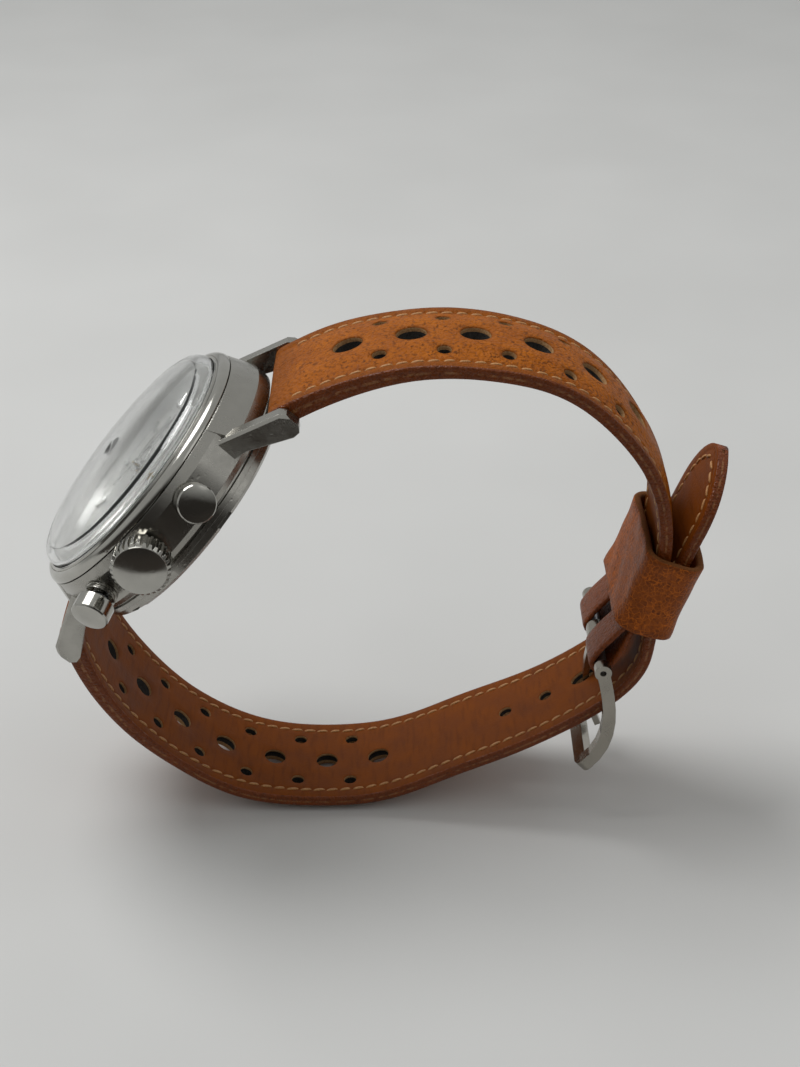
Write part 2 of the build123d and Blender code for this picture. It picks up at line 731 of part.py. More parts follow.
def hour_wheel():
    body = gear(HOUR_TEETH, HOUR_WHEEL_R, 7.45, 7.65, CENTRE, -90)
    body += rod(HOUR_PIPE_R, 7.45, 9.25)
    return body - rod(CANNON_PIPE_R + FIT, 6, 10)


def chronograph_runner():
    body = wheel(100, 2.8, 2.2, 2.4, CENTRE, 0)
    body += rod(0.5, 2.0, 2.75)
    return body + rod(RUNNER_R, 1.6, 10.45)


def minute_counter_wheel():
    body = wheel(60, 2.6, 2.2, 2.4, COUNTER, 0)
    body += rod(0.5, 2.0, 2.75, *COUNTER)
    return body + rod(RUNNER_R, 1.6, 8.75, *COUNTER)


def chronograph_lever(side):
    """Lever on the bridge whose upright tab stands in front of a pusher."""
    pivot = (START_PIVOT[0], side * START_PIVOT[1])
    tab = (LEVER_TAB[0], side * LEVER_TAB[1])
    nose = (3.6, side * 4.4)
    body = bar(1.35, 1.75, (pivot, tab), (1.0, 0.5))
    body += bar(1.35, 1.75, (pivot, nose), (1.0, 0.45))
    height = TAB_TOP - 1.6
    body += Pos(tab[0], tab[1], 1.6 + height / 2) * Rot(Z=side * PUSHER_ANGLE) * Box(0.5, 1.0, height)
    return body + rod(0.27, 1.5, 3.2, *pivot)


# ---- strap, keeper and buckle (final frame) ----------------------------------------


def at_yz(y, z, shape):
    return Pos(0, y, z) * shape


def strap_band(route, stations, widths, thicknesses, tip_length=0.0):
    """Ruled loft of rectangles along a smooth route in the YZ plane."""
    path = Spline(*[(0, y, z) for y, z in route])
    sections = []
    for i in range(stations + 1):
        share = i / stations
        width = widths[0] + (widths[1] - widths[0]) * share
        thick = thicknesses[0] + (thicknesses[1] - thicknesses[0]) * min(1.0, 1.6 * share)
        left = path.length * (1 - share)
        if left < tip_length:
            width *= max(0.2, math.sqrt(1 - (1 - left / tip_length) ** 2))
        plane = Plane(path @ share, x_dir=(1, 0, 0), z_dir=path % share)
        sections.append(plane * Rectangle(width, thick))
    return loft(sections, ruled=True)


def strap_upper():
    """Buckle half: folded round both spring bars, slotted for the tongue."""
    band = strap_band(UPPER_ROUTE, 22, (STRAP_LUG_WIDTH, STRAP_BUCKLE_WIDTH), (3.0, 2.0))
    band += at_yz(*BAR_12, along_x(Cylinder(1.62, STRAP_LUG_WIDTH)))
    band += at_yz(*HINGE, along_x(Cylinder(1.55, STRAP_BUCKLE_WIDTH)))
    band -= at_yz(*BAR_12, along_x(Cylinder(BAR_R + FIT, 30)))
    band -= at_yz(*HINGE, along_x(Cylinder(BAR_R + FIT, 30)))
    slot = Pos(0, HINGE[0], HINGE[1] + 1.2) * Box(3.4, 7.0, 6.4)
    return band - slot


def strap_lower():
    """Tail half: folded round the lower spring bar, punched for the tongue, pointed end."""
    widths = (STRAP_LUG_WIDTH, STRAP_BUCKLE_WIDTH - 0.6)
    band = strap_band(LOWER_ROUTE, 54, widths, (3.0, 1.7), TIP_LENGTH)
    band += at_yz(*BAR_6, along_x(Cylinder(1.62, STRAP_LUG_WIDTH)))
    band -= at_yz(*BAR_6, along_x(Cylinder(BAR_R + FIT, 30)))
    path = Spline(*[(0, y, z) for y, z in LOWER_ROUTE])
    for i in range(HOLES):
        share = (BUCKLED_HOLE + (2 - i) * HOLE_PITCH) / path.length
        plane = Plane(path @ share, x_dir=(1, 0, 0), z_dir=path % share)
        along = 3.4 if i == 2 else 2.0
        band -= plane * Rot(X=90) * extrude(SlotOverall(along + 0.01, 2.0, 90), 3, both=True)
    return band


def spring_bar(centre, half_gap):
    pin = Cylinder(BAR_R, 2 * half_gap - 0.3) + Cylinder(BAR_TIP_R, 2 * half_gap + 1.6)
    return at_yz(*centre, along_x(pin))


def keeper():
    outer = Box(KEEPER_WIDTH + 2 * KEEPER_SKIN, KEEPER_DEPTH + 2 * KEEPER_SKIN, KEEPER_LENGTH)
    outer = fillet(outer.edges().filter_by(Axis.Z), 1.4)
    loop = outer - Box(KEEPER_WIDTH, KEEPER_DEPTH, KEEPER_LENGTH + 1)
    return Pos(0, *KEEPER_CENTRE) * Rot(X=-KEEPER_LEAN) * loop


def swept_flat(route, widths, depth):
    """Flat bar along a smooth route in the YZ plane, its width running between two values."""
    path = Spline(*[(0, y, z) for y, z in route])
    sections = []
    for i in range(9):
        width = widths[0] + (widths[1] - widths[0]) * i / 8
        plane = Plane(path @ (i / 8), x_dir=(1, 0, 0), z_dir=path % (i / 8))
        sections.append(plane * Rectangle(width, depth))
    return loft(sections, ruled=True)


def buckle_frame():
    """Two curved side arms joined by a flat outer bar with rounded corners."""
    arm = swept_flat(BUCKLE_ROUTE, (BUCKLE_ARM[0], BUCKLE_ARM[0]), BUCKLE_ARM[1])
    arm += at_yz(*HINGE, along_x(Cylinder(1.2, BUCKLE_ARM[0])))
    frame = Pos(BUCKLE_HALF, 0, 0) * arm + Pos(-BUCKLE_HALF, 0, 0) * arm
    path = Spline(*[(0, y, z) for y, z in BUCKLE_ROUTE])
    bar = Box(2 * BUCKLE_HALF + BUCKLE_ARM[0], BUCKLE_ARM[1], BUCKLE_BAR)
    bar = fillet(bar.edges().filter_by(Axis.Y).sort_by(Axis.Z)[-2:], 1.3)
    frame += Plane(path @ 1, x_dir=(1, 0, 0), z_dir=path % 1) * bar
    return frame - at_yz(*HINGE, along_x(Cylinder(BAR_TIP_R + FIT, 40)))


def buckle_tongue():
    tongue = swept_flat(TONGUE_ROUTE, (1.7, 1.3), 0.9)
    tongue += at_yz(*HINGE, along_x(Cylinder(1.45, 2.6)))
    return tongue - at_yz(*HINGE, along_x(Cylinder(BAR_R + 0.08, 10)))


# ---- write every piece -----------------------------------------------------------


def build_head():
    save("case_middle", worn(case_middle()))
    save("bezel", worn(bezel()))
    save("crystal", worn(crystal()))
    save("crystal_tension_ring", worn(tension_ring()))
    save("flange_ring", worn(flange_ring()))
    save("caseback", worn(caseback()))
    save("caseback_gasket", worn(washer(17.45, 17.0, 1.5, 1.6)))
    save("crown_tube", worn(crown_tube()))
    save("crown", worn(crown()))
    save("crown_gasket", worn(crown_gasket()))
    save("winding_stem", worn(winding_stem()))
    save("setting_lever", worn(setting_lever()))
    for name, angle in (("start", PUSHER_ANGLE), ("reset", -PUSHER_ANGLE)):
        save(f"{name}_pusher", worn(pusher(angle)))
        save(f"{name}_pusher_tube", worn(pusher_tube(angle)))
        save(f"{name}_pusher_spring", worn(pusher_spring(angle)))
        save(f"{name}_pusher_clip", worn(pusher_clip(angle)))


def build_dial_side():
    save("dial", worn(dial()))
    save("subdial_rings", worn(subdial_rings()))
    save("hour_markers", worn(hour_markers()))
    hub = CANNON_PIPE_R
    save("hour_hand", worn(hand(9.0, 2.2, 1.3, 0.6, 9.0, 0.2, 1.25, HOUR_PIPE_R, 305)))
    save("minute_hand", worn(hand(13.4, 2.6, 1.1, 0.5, 9.6, 0.2, 1.1, hub, 54)))
    save("chrono_seconds_hand", worn(hand(14.6, 4.6, 0.4, 0.16, 10.15, 0.18, 0.75, 0.16, 0)))
    for name, x, angle in (("small_seconds_hand", -SUBDIAL_X, 215), ("minute_counter_hand", SUBDIAL_X, 0)):
        small = hand(3.5, 0.9, 0.35, 0.15, 8.6, 0.12, 0.5, 0.16 if x > 0 else 0.15, angle)
        save(name, worn(Pos(x, 0, 0) * small))


def build_movement():
    save("mainplate", worn(mainplate()))
    save("train_bridge", worn(train_bridge()))
    save("bridge_screws", worn(bridge_screws()))
    save("movement_ring", worn(movement_ring()))
    save("barrel", worn(barrel()))
    save("mainspring", worn(mainspring()))
    save("barrel_arbor", worn(barrel_arbor()))
    save("centre_wheel", worn(centre_wheel()))
    save("third_wheel", worn(third_wheel()))
    save("fourth_wheel", worn(fourth_wheel()))
    save("escape_wheel", worn(escape_wheel()))
    save("pallet_fork", worn(pallet_fork()))
    save("balance_wheel", worn(balance_wheel()))
    save("hairspring", worn(hairspring()))
    save("balance_cock", worn(balance_cock()))
    save("cannon_pinion", worn(cannon_pinion()))
    save("minute_wheel", worn(minute_wheel()))
    save("hour_wheel", worn(hour_wheel()))
    save("chronograph_runner", worn(chronograph_runner()))
    save("minute_counter_wheel", worn(minute_counter_wheel()))
    save("start_lever", worn(chronograph_lever(1)))
    save("reset_hammer", worn(chronograph_lever(-1)))


def build_strap():
    save("spring_bar_12", spring_bar(BAR_12, LUG_GAP / 2))
    save("spring_bar_6", spring_bar(BAR_6, LUG_GAP / 2))
    save("buckle_spring_bar", spring_bar(HINGE, BUCKLE_HALF - BUCKLE_ARM[0] / 2))
    save("strap_upper", strap_upper())
    save("strap_lower", strap_lower())
    save("keeper", keeper())
    save("buckle_frame", buckle_frame())
    save("buckle_tongue", buckle_tongue())


build_head()
build_dial_side()
build_movement()
build_strap()
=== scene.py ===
import json
import math
import random

import bmesh
import bpy
import numpy as np
from mathutils import Matrix, Vector

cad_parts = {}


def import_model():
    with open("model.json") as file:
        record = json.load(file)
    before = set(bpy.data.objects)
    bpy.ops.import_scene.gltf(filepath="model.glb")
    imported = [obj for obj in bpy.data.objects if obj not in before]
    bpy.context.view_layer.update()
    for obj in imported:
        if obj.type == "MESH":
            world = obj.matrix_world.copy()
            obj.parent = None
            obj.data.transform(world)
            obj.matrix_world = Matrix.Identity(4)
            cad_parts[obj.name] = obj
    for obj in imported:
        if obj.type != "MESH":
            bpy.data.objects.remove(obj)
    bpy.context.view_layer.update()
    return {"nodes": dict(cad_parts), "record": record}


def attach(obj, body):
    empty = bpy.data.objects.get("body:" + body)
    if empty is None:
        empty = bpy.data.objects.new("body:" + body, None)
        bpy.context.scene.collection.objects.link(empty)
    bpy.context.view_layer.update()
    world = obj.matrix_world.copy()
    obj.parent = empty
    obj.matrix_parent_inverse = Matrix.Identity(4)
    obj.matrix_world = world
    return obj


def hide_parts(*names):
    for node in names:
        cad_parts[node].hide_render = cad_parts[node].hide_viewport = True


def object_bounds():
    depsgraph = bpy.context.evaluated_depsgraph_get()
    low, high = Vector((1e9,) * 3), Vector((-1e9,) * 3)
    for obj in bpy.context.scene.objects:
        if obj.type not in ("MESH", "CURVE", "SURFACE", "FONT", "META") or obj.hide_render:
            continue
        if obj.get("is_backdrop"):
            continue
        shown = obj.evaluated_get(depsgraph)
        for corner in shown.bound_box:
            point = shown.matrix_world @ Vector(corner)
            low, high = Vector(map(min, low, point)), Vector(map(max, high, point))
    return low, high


# Chronograph wristwatch on a perforated leather strap. Metres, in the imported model's frame: origin at the
# middle of the case back, +X to the crown, +Z up, the buckled strap hanging towards +Y.

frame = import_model()
random.seed(7)

MM = 0.001
DIAL_TILT = math.radians(48.27)     # lean of the watch's head, about X

# ---- routes of the two strap halves, (y, z) in mm, as in part.py -------------------
HINGE = (56.4, -20.5)
UPPER_ROUTE = [
    (12.75, 18.65), (21.7, 22.9), (33.7, 24.9), (48.1, 22.4), (59.6, 12.6),
    (63.7, 2.6), (63.9, -4.5), (60.6, -13.5), HINGE,
]
LOWER_ROUTE = [
    (-17.07, -14.79), (-14.45, -23.3), (-6.45, -34.2), (3.5, -41.5), (13.95, -43.9),
    (25.0, -43.2), (37.0, -38.4), (49.4, -32.4), (58.2, -26.2), (62.3, -20.4),
    (63.2, -15.0), (65.0, -9.0), (67.3, -3.0), (70.1, 4.0), (71.9, 9.4),
]


class Route:
    """Smooth curve through points in the YZ plane, measured by its length in mm."""

    def __init__(self, points, outward):
        knots = np.array(points, float)
        chord = np.r_[0, np.cumsum(np.linalg.norm(np.diff(knots, axis=0), axis=1))]
        step = np.diff(chord)
        count = len(knots)
        system = np.zeros((count, count))
        right = np.zeros((count, 2))
        system[0, 0] = system[-1, -1] = 1
        for i in range(1, count - 1):
            system[i, i - 1] = step[i - 1]
            system[i, i] = 2 * (step[i - 1] + step[i])
            system[i, i + 1] = step[i]
            slope_out = (knots[i + 1] - knots[i]) / step[i]
            slope_in = (knots[i] - knots[i - 1]) / step[i - 1]
            right[i] = 6 * (slope_out - slope_in)
        bend = np.linalg.solve(system, right)
        t = np.linspace(0, chord[-1], 4001)
        i = np.clip(np.searchsorted(chord, t) - 1, 0, count - 2)
        a, b, h = (t - chord[i])[:, None], (chord[i + 1] - t)[:, None], step[i][:, None]
        line = (bend[i] * b**3 + bend[i + 1] * a**3) / (6 * h)
        line += (knots[i] / h - bend[i] * h / 6) * b + (knots[i + 1] / h - bend[i + 1] * h / 6) * a
        self.line = line
        self.s = np.r_[0, np.cumsum(np.linalg.norm(np.diff(line, axis=0), axis=1))]
        self.length = float(self.s[-1])
        self.outward = outward

    def point(self, s):
        inside = min(max(s, 0.0), self.length)
        here = np.array([np.interp(inside, self.s, self.line[:, k]) for k in (0, 1)])
        return here + self.tangent(s) * (s - inside)

    def tangent(self, s):
        low = min(max(s - 0.15, 0.0), self.length - 0.3)
        ends = [[np.interp(v, self.s, self.line[:, k]) for k in (0, 1)] for v in (low, low + 0.3)]
        along = np.subtract(ends[1], ends[0])
        return along / np.linalg.norm(along)

    def place(self, s, x, h):
        """Point at distance s, x across and h outward of the route, in metres."""
        y, z = self.point(s)
        ty, tz = self.tangent(s)
        return Vector((x, y - self.outward * tz * h, z + self.outward * ty * h)) * MM


UPPER = Route(UPPER_ROUTE, 1)
LOWER = Route(LOWER_ROUTE, -1)

# ---- materials ---------------------------------------------------------------------


class Shader:
    """A Principled material with short calls for its procedural nodes."""

    def __init__(self, name, **values):
        self.material = bpy.data.materials.new(name)
        self.material.use_nodes = True
        self.nodes = self.material.node_tree.nodes
        self.links = self.material.node_tree.links
        self.surface = self.nodes["Principled BSDF"]
        for socket, value in values.items():
            self.surface.inputs[socket.replace("_", " ")].default_value = value
        self.coords = self.node("ShaderNodeTexCoord").outputs["Object"]

    def node(self, kind, **inputs):
        made = self.nodes.new(kind)
        for key, value in inputs.items():
            self.feed(made.inputs[key.replace("_", " ")], value)
        return made

    def feed(self, socket, value):
        if isinstance(value, bpy.types.NodeSocket):
            self.links.new(value, socket)
        else:
            socket.default_value = value

    def set(self, socket, value):
        self.feed(self.surface.inputs[socket], value)

    def stretched(self, scale, turn=(0, 0, 0)):
        """Object coordinates scaled by axis, for streaks."""
        mapping = self.node("ShaderNodeMapping", Vector=self.coords)
        mapping.inputs["Rotation"].default_value = turn
        mapping.inputs["Scale"].default_value = scale
        return mapping.outputs["Vector"]

    def noise(self, size, detail=3.0, vector=None, distortion=0.0):
        """Soft noise whose blobs are size metres across."""
        node = self.node("ShaderNodeTexNoise", Vector=vector or self.coords, Detail=detail)
        node.inputs["Scale"].default_value = 1.0 / size
        node.inputs["Distortion"].default_value = distortion
        return node.outputs["Fac"]

    def cells(self, size, feature="F1", vector=None, smooth=0.0):
        """Irregular cells about size metres across; the distance from their middles or edges."""
        node = self.node("ShaderNodeTexVoronoi", Vector=vector or self.coords)
        node.feature = feature
        node.inputs["Scale"].default_value = 1.0 / size
        if feature == "SMOOTH_F1":
            node.inputs["Smoothness"].default_value = smooth
        return node.outputs["Distance"]

    def warped(self, size, amount):
        """Object coordinates pushed about by noise, so that cells aren't regular."""
        noise = self.node("ShaderNodeTexNoise", Vector=self.coords, Detail=2.0)
        noise.inputs["Scale"].default_value = 1.0 / size
        push = self.node("ShaderNodeVectorMath")
        push.operation = "MULTIPLY_ADD"
        self.feed(push.inputs[0], noise.outputs["Color"])
        push.inputs[1].default_value = (amount,) * 3
        self.feed(push.inputs[2], self.coords)
        return push.outputs[0]

    def ramp(self, factor, stops):
        """Blend between two colours, each given with its place from 0 to 1."""
        node = self.node("ShaderNodeValToRGB", Fac=factor)
        for stop, (place, colour) in zip(node.color_ramp.elements, stops):
            stop.position = place
            stop.color = (*colour, 1)
        return node.outputs["Color"]

    def span(self, factor, low, high, out_low=0.0, out_high=1.0):
        """Carries the range low to high to the range out_low to out_high, and stops at its ends."""
        node = self.node("ShaderNodeMapRange", Value=factor)
        for key, value in zip(("From Min", "From Max", "To Min", "To Max"), (low, high, out_low, out_high)):
            node.inputs[key].default_value = value
        return node.outputs["Result"]

    def mix(self, factor, a, b):
        node = self.nodes.new("ShaderNodeMix")
        node.data_type = "RGBA"
        self.feed(node.inputs[0], factor)
        for socket, value in ((node.inputs[6], a), (node.inputs[7], b)):
            self.feed(socket, (*value, 1) if isinstance(value, tuple) else value)
        return node.outputs[2]

    def math(self, operation, a, b=0.0):
        node = self.nodes.new("ShaderNodeMath")
        node.operation = operation
        self.feed(node.inputs[0], a)
        self.feed(node.inputs[1], b)
        return node.outputs[0]

    def attribute(self, name):
        node = self.nodes.new("ShaderNodeAttribute")
        node.attribute_name = name
        return node.outputs["Fac"]

    def bump(self, height, strength, distance, normal=None):
        node = self.node("ShaderNodeBump", Height=height, Strength=strength, Distance=distance)
        if normal is not None:
            self.feed(node.inputs["Normal"], normal)
        return node.outputs["Normal"]

    def rounded(self, radius):
        """Softened edges, for turned and milled metal."""
        node = self.node("ShaderNodeBevel", Radius=radius)
        node.samples = 4
        return node.outputs["Normal"]


SCRATCH_TURN = (0.5, 0.3, 0.9)
CROSS_TURN = (0.9, 0.5, 0.3)
SCRATCH_DEPTH = 0.000006


def metal(name, colour, rough, spread=0.1, scratch=0.25, pits=0.0, edge=0.00010):
    """Worn metal: cloudy gloss, fine scratches, a few pits and softened edges."""
    s = Shader(name, Metallic=1.0)
    cloud = s.noise(0.0035, 4.0)
    fine = s.noise(0.0004, 2.0)
    s.set("Base Color", s.mix(s.span(cloud, 0.35, 0.7), colour, tuple(c * 0.86 for c in colour)))
    s.set("Roughness", s.math("ADD", s.span(cloud, 0.3, 0.7, rough - spread / 2, rough + spread / 2),
                              s.span(fine, 0.3, 0.7, -0.02, 0.03)))
    lines = s.noise(1.0, 2.0, s.stretched((900, 900, 14000), SCRATCH_TURN))
    cross = s.noise(1.0, 2.0, s.stretched((15000, 700, 800), CROSS_TURN))
    normal = s.bump(s.math("ADD", lines, cross), scratch, SCRATCH_DEPTH, s.rounded(edge))
    if pits:
        dents = s.span(s.cells(0.0011, vector=s.warped(0.002, 0.001)), 0.05, 0.22)
        normal = s.bump(dents, pits, 0.00003, normal)
    s.set("Normal", normal)
    return s.material


CASE_METAL = metal("satin case steel", (0.40, 0.388, 0.355), 0.24, 0.16, 0.45, 0.35)
POLISHED = metal("polished steel", (0.46, 0.45, 0.415), 0.13, 0.10, 0.2, 0.10)
BUCKLE_METAL = metal("buckle steel", (0.36, 0.335, 0.29), 0.22, 0.12, 0.5, 0.2)
SPRING_METAL = metal("spring steel", (0.50, 0.51, 0.53), 0.30, 0.08, 0.3)
PLATED = metal("plated brass", (0.62, 0.60, 0.55), 0.28, 0.08, 0.6)
GILT = metal("gilt brass", (0.78, 0.57, 0.25), 0.25, 0.08, 0.4)
APPLIED = metal("applied markers", (0.70, 0.70, 0.69), 0.12, 0.05, 0.1, edge=0.00004)
FROSTED = metal("frosted ring", (0.88, 0.88, 0.86), 0.5, 0.1, 0.1)
BLUED = metal("hairspring alloy", (0.30, 0.33, 0.45), 0.25, 0.05, 0.1, edge=0.00001)


def dial_silver():
    """Silvered dial with a fine matt grain."""
    s = Shader("silvered dial", Metallic=0.35)
    cloud = s.noise(0.004, 4.0)
    s.set("Base Color", s.ramp(cloud, [(0.3, (0.74, 0.74, 0.71)), (0.75, (0.82, 0.82, 0.80))]))
    s.set("Roughness", s.span(cloud, 0.3, 0.7, 0.32, 0.42))
    s.set("Normal", s.bump(s.noise(0.00008, 2.0), 0.25, 0.000008, s.rounded(0.00004)))
    return s.material


def acrylic():
    """Clear acrylic with hairline scratches and a faint haze."""
    s = Shader("clear acrylic", Transmission_Weight=1.0, IOR=1.49, Base_Color=(0.97, 0.975, 0.97, 1))
    cloud = s.noise(0.006, 4.0)
    s.set("Roughness", s.span(cloud, 0.35, 0.75, 0.015, 0.07))
    lines = s.noise(1.0, 1.0, s.stretched((700, 700, 12000), (0.3, 0.8, 0.2)))
    s.set("Normal", s.bump(s.span(lines, 0.62, 0.7), 0.12, 0.000004))
    return s.material


def rubber():
    """Black gasket rubber."""
    s = Shader("gasket rubber", Base_Color=(0.02, 0.02, 0.02, 1))
    s.set("Roughness", s.span(s.noise(0.0006), 0.3, 0.7, 0.55, 0.75))
    s.set("Normal", s.bump(s.noise(0.00015), 0.3, 0.00002))
    return s.material


def leather(name, light, mid, dark, rough, shine, grain=0.00062, depth=0.00020, seam=False, veins=False):
    """Pebbled calf: raised grains and dark specks, burnished where the wear attribute is high.

    seam draws the raw line along a cut edge, veins the pale crackle of a sharply bent strip.
    """
    s = Shader(name, Specular_IOR_Level=shine)
    coords = s.warped(0.0016, 0.0009)
    pebbles = s.cells(grain, "SMOOTH_F1", coords, 0.35)
    crease = s.cells(grain * 1.2, "DISTANCE_TO_EDGE", s.warped(0.0009, 0.0008))
    speck = s.noise(grain * 0.8, 4.0, distortion=0.6)
    cloud = s.noise(0.005, 4.0)
    blotch = s.noise(0.0013, 5.0, distortion=0.4)
    worn = s.attribute("wear")
    tone = s.math("ADD", s.span(cloud, 0.3, 0.7, 0.0, 0.45), s.span(blotch, 0.3, 0.7, 0.0, 0.55))
    colour = s.ramp(tone, [(0.12, mid), (0.85, light)])
    spots = s.math("MULTIPLY", s.span(speck, 0.50, 0.64), s.span(blotch, 0.35, 0.6, 0.30, 0.75))
    colour = s.mix(spots, colour, dark)
    colour = s.mix(s.math("MULTIPLY", worn, s.span(blotch, 0.25, 0.75, 0.45, 1.0)), colour,
                   tuple(c * 0.62 for c in mid))
    if veins:
        lines = s.math("MULTIPLY", s.span(crease, 0.09, 0.02), s.span(blotch, 0.35, 0.6, 0.1, 0.75))
        colour = s.mix(lines, colour, tuple(c * 1.7 for c in light))
    if seam:
        broken = s.span(s.noise(0.0009, 3.0), 0.42, 0.6)
        raw = s.math("MULTIPLY", s.span(s.attribute("seam"), 0.55, 0.95), broken)
        colour = s.mix(raw, colour, (0.42, 0.22, 0.09))
    s.set("Base Color", colour)
    s.set("Roughness", s.math("ADD", s.span(blotch, 0.25, 0.75, rough - 0.07, rough + 0.09),
                              s.span(pebbles, 0.0, 0.6, 0.0, 0.08)))
    fine = s.noise(0.00018, 3.0)
    normal = s.bump(s.span(crease, 0.0, 0.3), 0.45, depth)
    normal = s.bump(pebbles, 0.35, -depth, normal)
    s.set("Normal", s.bump(fine, 0.25, 0.00003, normal))
    return s.material


def lining_leather():
    """Smooth lining with fine cross wrinkles."""
    s = Shader("strap lining", Specular_IOR_Level=0.12)
    cloud = s.noise(0.004, 4.0)
    wrinkle = s.noise(1.0, 3.0, s.stretched((260, 1500, 1500)))
    colour = s.ramp(cloud, [(0.25, (0.155, 0.036, 0.002)), (0.8, (0.225, 0.056, 0.003))])
    s.set("Base Color", s.mix(s.span(wrinkle, 0.5, 0.3, 0.0, 0.35), colour, (0.085, 0.020, 0.002)))
    s.set("Roughness", s.span(cloud, 0.3, 0.7, 0.5, 0.64))
    normal = s.bump(wrinkle, 0.5, 0.0001)
    s.set("Normal", s.bump(s.cells(0.0004, vector=s.warped(0.001, 0.0005)), 0.35, 0.00005, normal))
    return s.material


def fibre(name, light, dark):
    """Cut leather or padding: short fibres, matt."""
    s = Shader(name, Specular_IOR_Level=0.2)
    fuzz = s.noise(0.00025, 5.0, distortion=0.8)
    s.set("Base Color", s.ramp(fuzz, [(0.3, dark), (0.7, light)]))
    s.set("Roughness", s.span(fuzz, 0.3, 0.7, 0.77, 0.90))
    s.set("Normal", s.bump(fuzz, 0.7, 0.00015))
    return s.material


def thread():
    """Waxed tan thread."""
    s = Shader("waxed thread", Specular_IOR_Level=0.4)
    twist = s.noise(0.00022, 3.0)
    s.set("Base Color", s.ramp(twist, [(0.3, (0.30, 0.125, 0.035)), (0.7, (0.56, 0.30, 0.12))]))
    s.set("Roughness", s.span(twist, 0.3, 0.7, 0.45, 0.6))
    s.set("Normal", s.bump(twist, 0.4, 0.00006))
    return s.material


OUTER = leather("tan calf", (0.40, 0.112, 0.005), (0.29, 0.074, 0.002), (0.060, 0.013, 0.001), 0.42, 0.11)
EDGE = leather("burnished edge", (0.30, 0.066, 0.004), (0.19, 0.038, 0.002), (0.04, 0.008, 0.001), 0.30,
               0.32, grain=0.0005, seam=True)
KEEPER_LEATHER = leather("keeper calf", (0.33, 0.078, 0.004), (0.22, 0.048, 0.002), (0.07, 0.015, 0.001),
                         0.40, 0.20, grain=0.0006, depth=0.00008, veins=True)
KEEPER_RIM = fibre("keeper rim", (0.20, 0.075, 0.018), (0.11, 0.033, 0.006))
LINING = lining_leather()
RAW_CUT = fibre("raw leather edge", (0.42, 0.25, 0.12), (0.24, 0.12, 0.045))
CORE = fibre("strap core", (0.045, 0.042, 0.038), (0.012, 0.011, 0.010))
THREAD = thread()

SLOT_MATERIALS = {
    "case_steel": CASE_METAL,
    "polished_steel": POLISHED,
    "spring_steel": SPRING_METAL,
    "acrylic": acrylic(),
    "gasket_rubber": rubber(),
    "dial_silver": dial_silver(),
    "applied_metal": APPLIED,
    "plated_brass": PLATED,
    "gilt_brass": GILT,
    "hairspring_alloy": BLUED,
    "strap_leather": OUTER,
}
OWN_MATERIALS = {
    "buckle_frame": BUCKLE_METAL,
    "buckle_tongue": BUCKLE_METAL,
    "crystal_tension_ring": FROSTED,
    "flange_ring": FROSTED,
}
slot_of = {part["node"]: part["material_slot"] for part in frame["record"]["subparts"]}
for node, obj in frame["nodes"].items():
    material = OWN_MATERIALS.get(node) or SLOT_MATERIALS[slot_of[node]]
    for slot in obj.material_slots:
        slot.link = "OBJECT"
        slot.material = material

# ---- meshes ------------------------------------------------------------------------


def new_object(name, vertices, faces, materials, face_materials=None, smooth=True):
    mesh = bpy.data.meshes.new(name)
    mesh.from_pydata([tuple(v) for v in vertices], [], faces)
    for material in materials:
        mesh.materials.append(material)
    if face_materials:
        mesh.polygons.foreach_set("material_index", face_materials)
    mesh.polygons.foreach_set("use_smooth", [smooth] * len(mesh.polygons))
    obj = bpy.data.objects.new(name, mesh)
    bpy.context.scene.collection.objects.link(obj)
    return obj


def weld(obj, distance=1e-6):
    """Merges meeting vertices and turns every face outward."""
    bm = bmesh.new()
    bm.from_mesh(obj.data)
    bmesh.ops.remove_doubles(bm, verts=bm.verts, dist=distance)
    bmesh.ops.dissolve_degenerate(bm, edges=bm.edges, dist=1e-8)
    bmesh.ops.recalc_face_normals(bm, faces=bm.faces)
    bm.to_mesh(obj.data)
    bm.free()
    return obj


def give_attribute(obj, name, values):
    layer = obj.data.attributes.new(name, "FLOAT", "POINT")
    layer.data.foreach_set("value", np.array(values, np.float32))


def smoothstep(a, b, v):
    t = min(1.0, max(0.0, (v - a) / (b - a)))
    return t * t * (3 - 2 * t)


def lerp(a, b, t):
    t = min(1.0, max(0.0, t))
    return a + (b - a) * t


# ---- strap halves --------------------------------------------------------------------

LUG_HALF = 1.62              # half thickness where a strap end wraps its spring bar
FOLD_RUN = 8.0               # length of the open fold round the buckle's hinge bar
LUG_WIDTH = 20.0
UPPER_END_WIDTH = 16.0
LOWER_END_WIDTH = 15.4
TIP = 10.0                   # length of the tail's pointed end
BIG_HOLE = 2.0               # radii of the punched holes
SMALL_HOLE = 0.95
SMALL_ROW_X = 4.9            # rows of small holes, out from the middle
UPPER_BIG = (10.1, 8.2, 6)   # first hole, pitch and count
UPPER_SMALL = (14.2, 8.2, 5)
LOWER_BIG = (9.6, 7.9, 7)
LOWER_SMALL = (13.5, 7.85, 6)
USED_HOLE = 90.5             # where the tongue goes through, two more holes on each side
TONGUE_PITCH = 6.5
TONGUE_HOLE = (1.0, 1.0)
WORN_HOLE = (2.1, 1.25)      # half length and half width; use has pulled it long
ROW_STEP = 0.5               # distance between cross sections

